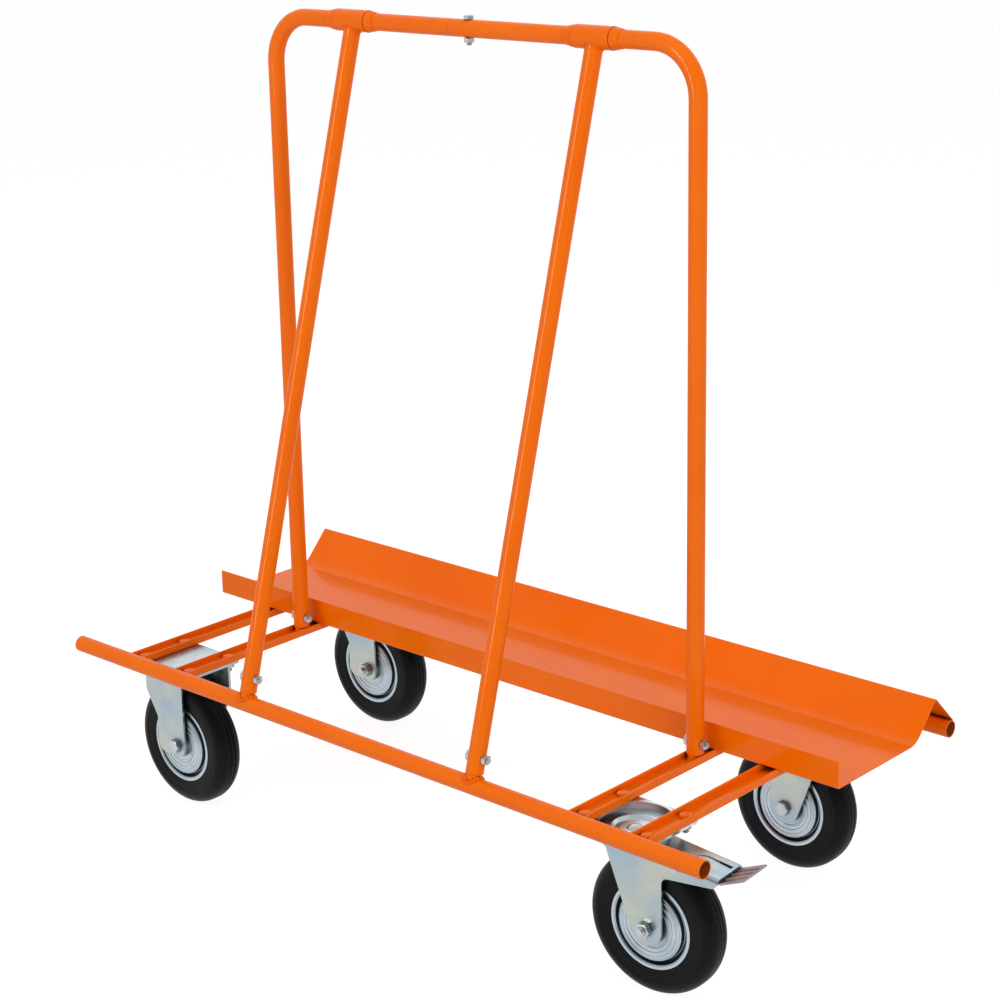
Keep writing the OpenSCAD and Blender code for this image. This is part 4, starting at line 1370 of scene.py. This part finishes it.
@dataclass(frozen=True)
class Softbox:
    """A rectangular studio lamp that faces a point, in metres."""

    name: str
    place: tuple[float, float, float]
    aim: tuple[float, float, float]
    width: float
    height: float
    watts: float
    lights: Lights = Lights.MATT
    # Pieces that the lamp is flagged to; none for all
    subjects: tuple[str, ...] = ()

    def build(self) -> None:
        """Makes the lamp."""
        light = bpy.data.lights.new(self.name, "AREA")
        light.shape = "RECTANGLE"
        light.size = self.width
        light.size_y = self.height
        light.energy = self.watts
        lamp = bpy.data.objects.new(self.name, light)
        turn = (Vector(self.aim) - Vector(self.place)).to_track_quat("-Z", "Y")
        lamp.matrix_world = Matrix.Translation(self.place) @ turn.to_matrix().to_4x4()
        lamp.visible_camera = False
        lamp.visible_diffuse = self.lights is Lights.MATT
        lamp.visible_glossy = self.lights is Lights.GLOSS
        bpy.context.scene.collection.objects.link(lamp)
        if self.subjects:
            group = bpy.data.collections.new(self.name + "_subjects")
            for piece in self.subjects:
                group.objects.link(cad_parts.get(piece) or bpy.data.objects[piece])
            lamp.light_linking.receiver_collection = group
        log.info("%s: %.0f W", self.name, self.watts)


@dataclass
class Studio:
    """White floor, white surroundings, soft lamps and the camera, in metres."""

    floor_half: float = 30.0
    # The floor's own light where it is seen, and where it only lights the cart
    floor_light: float = 0.89
    floor_bounce: float = 0.35
    floor_albedo: float = 0.24
    paper_mm: float = 180.0
    paper_tone: float = 0.01
    # Light of the surroundings on matt surfaces
    fill: float = 0.42
    # What gloss sees: each level, and the span of height or of depth over which it comes in
    ceiling: float = 0.8
    ceiling_span: tuple[float, float] = (0.1, 0.7)
    room: float = 0.35
    room_span: tuple[float, float] = (-0.9, -0.2)
    sweep: float = 0.7
    sweep_span: tuple[float, float] = (0.2, 0.7)
    sweep_rise: tuple[float, float] = (0.1, 0.35)
    camera_place: tuple[float, float, float] = (2.1709, -2.3454, 1.5238)
    azimuth: float = math.radians(42.457)
    elevation: float = math.radians(15.69)
    roll: float = math.radians(-1.123)
    sensor_mm: float = 36.0
    lens_mm: float = 81.85
    shift_x: float = 0.0016
    shift_y: float = -0.0614
    lamps: tuple[Softbox, ...] = (
        Softbox("key_softbox", (-1.5, -3.4, 2.0), (0.0, 0.0, 0.6), 2.4, 2.4, 53.0),
        Softbox("fill_softbox", (3.6, -1.6, 1.8), (0.2, 0.0, 0.5), 2.0, 2.0, 62.0),
        Softbox("top_softbox", (0.3, 0.6, 3.6), (0.0, 0.0, 0.3), 2.4, 1.6, 21.0),
        Softbox("back_softbox", (-1.0, 3.8, 1.3), (0.0, 0.0, 0.5), 2.4, 1.6, 34.0),
        Softbox(
            "strip_softbox", (-0.8, -3.7, 1.7), (0.0, 0.0, 0.6), 0.6, 2.2, 62.0, Lights.GLOSS,
            ("left_leg", "right_leg", "left_hoop", "right_hoop", "front_right_axle_bolt",
             "front_right_axle_end_nut", "front_left_axle_bolt", "front_left_axle_end_nut"),
        ),
    )

    def seen(self, tree: bpy.types.NodeTree) -> bpy.types.Node:
        """Tells what the camera sees, itself or by a mirror or glass, from what only lights the set.

        Args:
            tree: nodes of a material or of the world.

        Returns:
            A value of 1 where it is seen and 0 elsewhere.
        """
        path = add(tree, "LightPath").outputs
        bent = add(
            tree, "Math", {0: path["Is Glossy Ray"], 1: path["Is Transmission Ray"]}, operation="MAXIMUM"
        )
        return add(tree, "Math", {0: path["Is Camera Ray"], 1: bent}, operation="MAXIMUM")

    def floor(self) -> None:
        """Makes the floor, a grid of four corners: a little diffuse for the shadow, and white where seen."""
        corners = np.array([[[-1, -1, 0], [-1, 1, 0]], [[1, -1, 0], [1, 1, 0]]], float) * self.floor_half
        shell = net(corners)
        mesh = bpy.data.meshes.new("studio_floor")
        mesh.from_pydata(shell.points.tolist(), [], shell.quads[:, ::-1].tolist())
        material, tree = start_material("studio_paper_matt_white")
        grain = add(tree, "TexNoise", {"Scale": per_mm(self.paper_mm), "Detail": 2.0})
        tones = {"To Min": self.floor_albedo, "To Max": self.floor_albedo + self.paper_tone}
        tone = add(tree, "MapRange", {"Value": grain, **tones})
        paper = add(tree, "BsdfDiffuse", {"Color": tone})
        glow = add(tree, "Emission", {"Strength": self.floor_light})
        dark = add(tree, "Emission", {"Strength": self.floor_bounce})
        lit = add(tree, "MixShader", {0: self.seen(tree), 1: dark, 2: glow})
        both = add(tree, "AddShader", {0: paper, 1: lit})
        add(tree, "OutputMaterial", {"Surface": both})
        mesh.materials.append(material)
        floor = bpy.data.objects.new("studio_floor", mesh)
        bpy.context.scene.collection.objects.link(floor)

    def world(self) -> None:
        """Lights the set evenly, and shows white where the camera looks past it.

        Gloss sees a bright sweep behind the cart, a dimmer ceiling and a dim room behind the camera.
        """
        world = bpy.data.worlds.new("studio_surroundings")
        bpy.context.scene.world = world
        world.use_nodes = True
        tree = world.node_tree
        tree.nodes.clear()
        soft = add(tree, "Background", {"Color": linear("#FFFFFF"), "Strength": self.fill})
        way = add(tree, "TexCoord").outputs["Generated"]
        up = add(tree, "SeparateXYZ", {0: way}).outputs["Z"]
        ahead = (-math.sin(self.azimuth), math.cos(self.azimuth), 0.0)
        far = add(tree, "VectorMath", {0: way, 1: ahead}, operation="DOT_PRODUCT")
        above, near, behind, raised = [
            add(
                tree, "MapRange",
                {"Value": value, "From Min": span[0], "From Max": span[1], "To Min": low, "To Max": high},
            )
            for value, span, low, high in (
                (up, self.ceiling_span, 1.0, self.ceiling),
                (far, self.room_span, self.room, 1.0),
                (far, self.sweep_span, 0.0, self.sweep),
                (up, self.sweep_rise, 0.0, 1.0),
            )
        ]
        walls = add(tree, "Math", {0: above, 1: near}, operation="MULTIPLY")
        glow = add(tree, "Math", {0: behind, 1: raised}, operation="MULTIPLY")
        dim = add(tree, "Math", {0: walls, 1: glow}, operation="ADD")
        direct = add(tree, "LightPath").outputs["Is Camera Ray"]
        level = add(tree, "Math", {0: dim, 1: direct}, operation="MAXIMUM")
        white = add(tree, "Background", {"Color": linear("#FFFFFF"), "Strength": level})
        mixed = add(tree, "MixShader", {0: self.seen(tree), 1: soft, 2: white})
        add(tree, "OutputWorld", {"Surface": mixed})

    def camera(self) -> None:
        """Sets the camera by its place and its azimuth, elevation and roll."""
        sin_a, cos_a = math.sin(self.azimuth), math.cos(self.azimuth)
        sin_e, cos_e = math.sin(self.elevation), math.cos(self.elevation)
        ahead = np.array([-sin_a * cos_e, cos_a * cos_e, -sin_e])
        level = np.array([cos_a, sin_a, 0.0])
        above = np.cross(level, ahead)
        right = math.cos(self.roll) * level + math.sin(self.roll) * above
        up = math.cos(self.roll) * above - math.sin(self.roll) * level
        matrix = np.eye(4)
        matrix[:3] = np.column_stack([right, up, -ahead, self.camera_place])
        data = bpy.data.cameras.new("camera")
        data.sensor_width = self.sensor_mm
        data.lens = self.lens_mm
        data.shift_x = self.shift_x
        data.shift_y = self.shift_y
        camera = bpy.data.objects.new("camera", data)
        camera.matrix_world = Matrix(matrix.tolist())
        bpy.context.scene.collection.objects.link(camera)
        bpy.context.scene.camera = camera

    def build(self) -> None:
        """Makes the whole set."""
        self.camera()
        self.floor()
        self.world()
        for lamp in self.lamps:
            lamp.build()
        bpy.context.scene.view_settings.view_transform = "Standard"


def main() -> None:
    """Builds the cart's sub-assemblies in order, then the set."""
    logging.basicConfig(level=logging.INFO, format="%(message)s")
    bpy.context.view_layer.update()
    finishes = Finishes()
    groups = [kind(finishes) for kind in (Base, Welds, FrameBolts, CasterBolts, CasterHousings)]
    groups += [Wheel(finishes, corner) for corner in Corner]
    for group in groups:
        group.build()
    Studio().build()


if __name__ == "__main__":
    main()
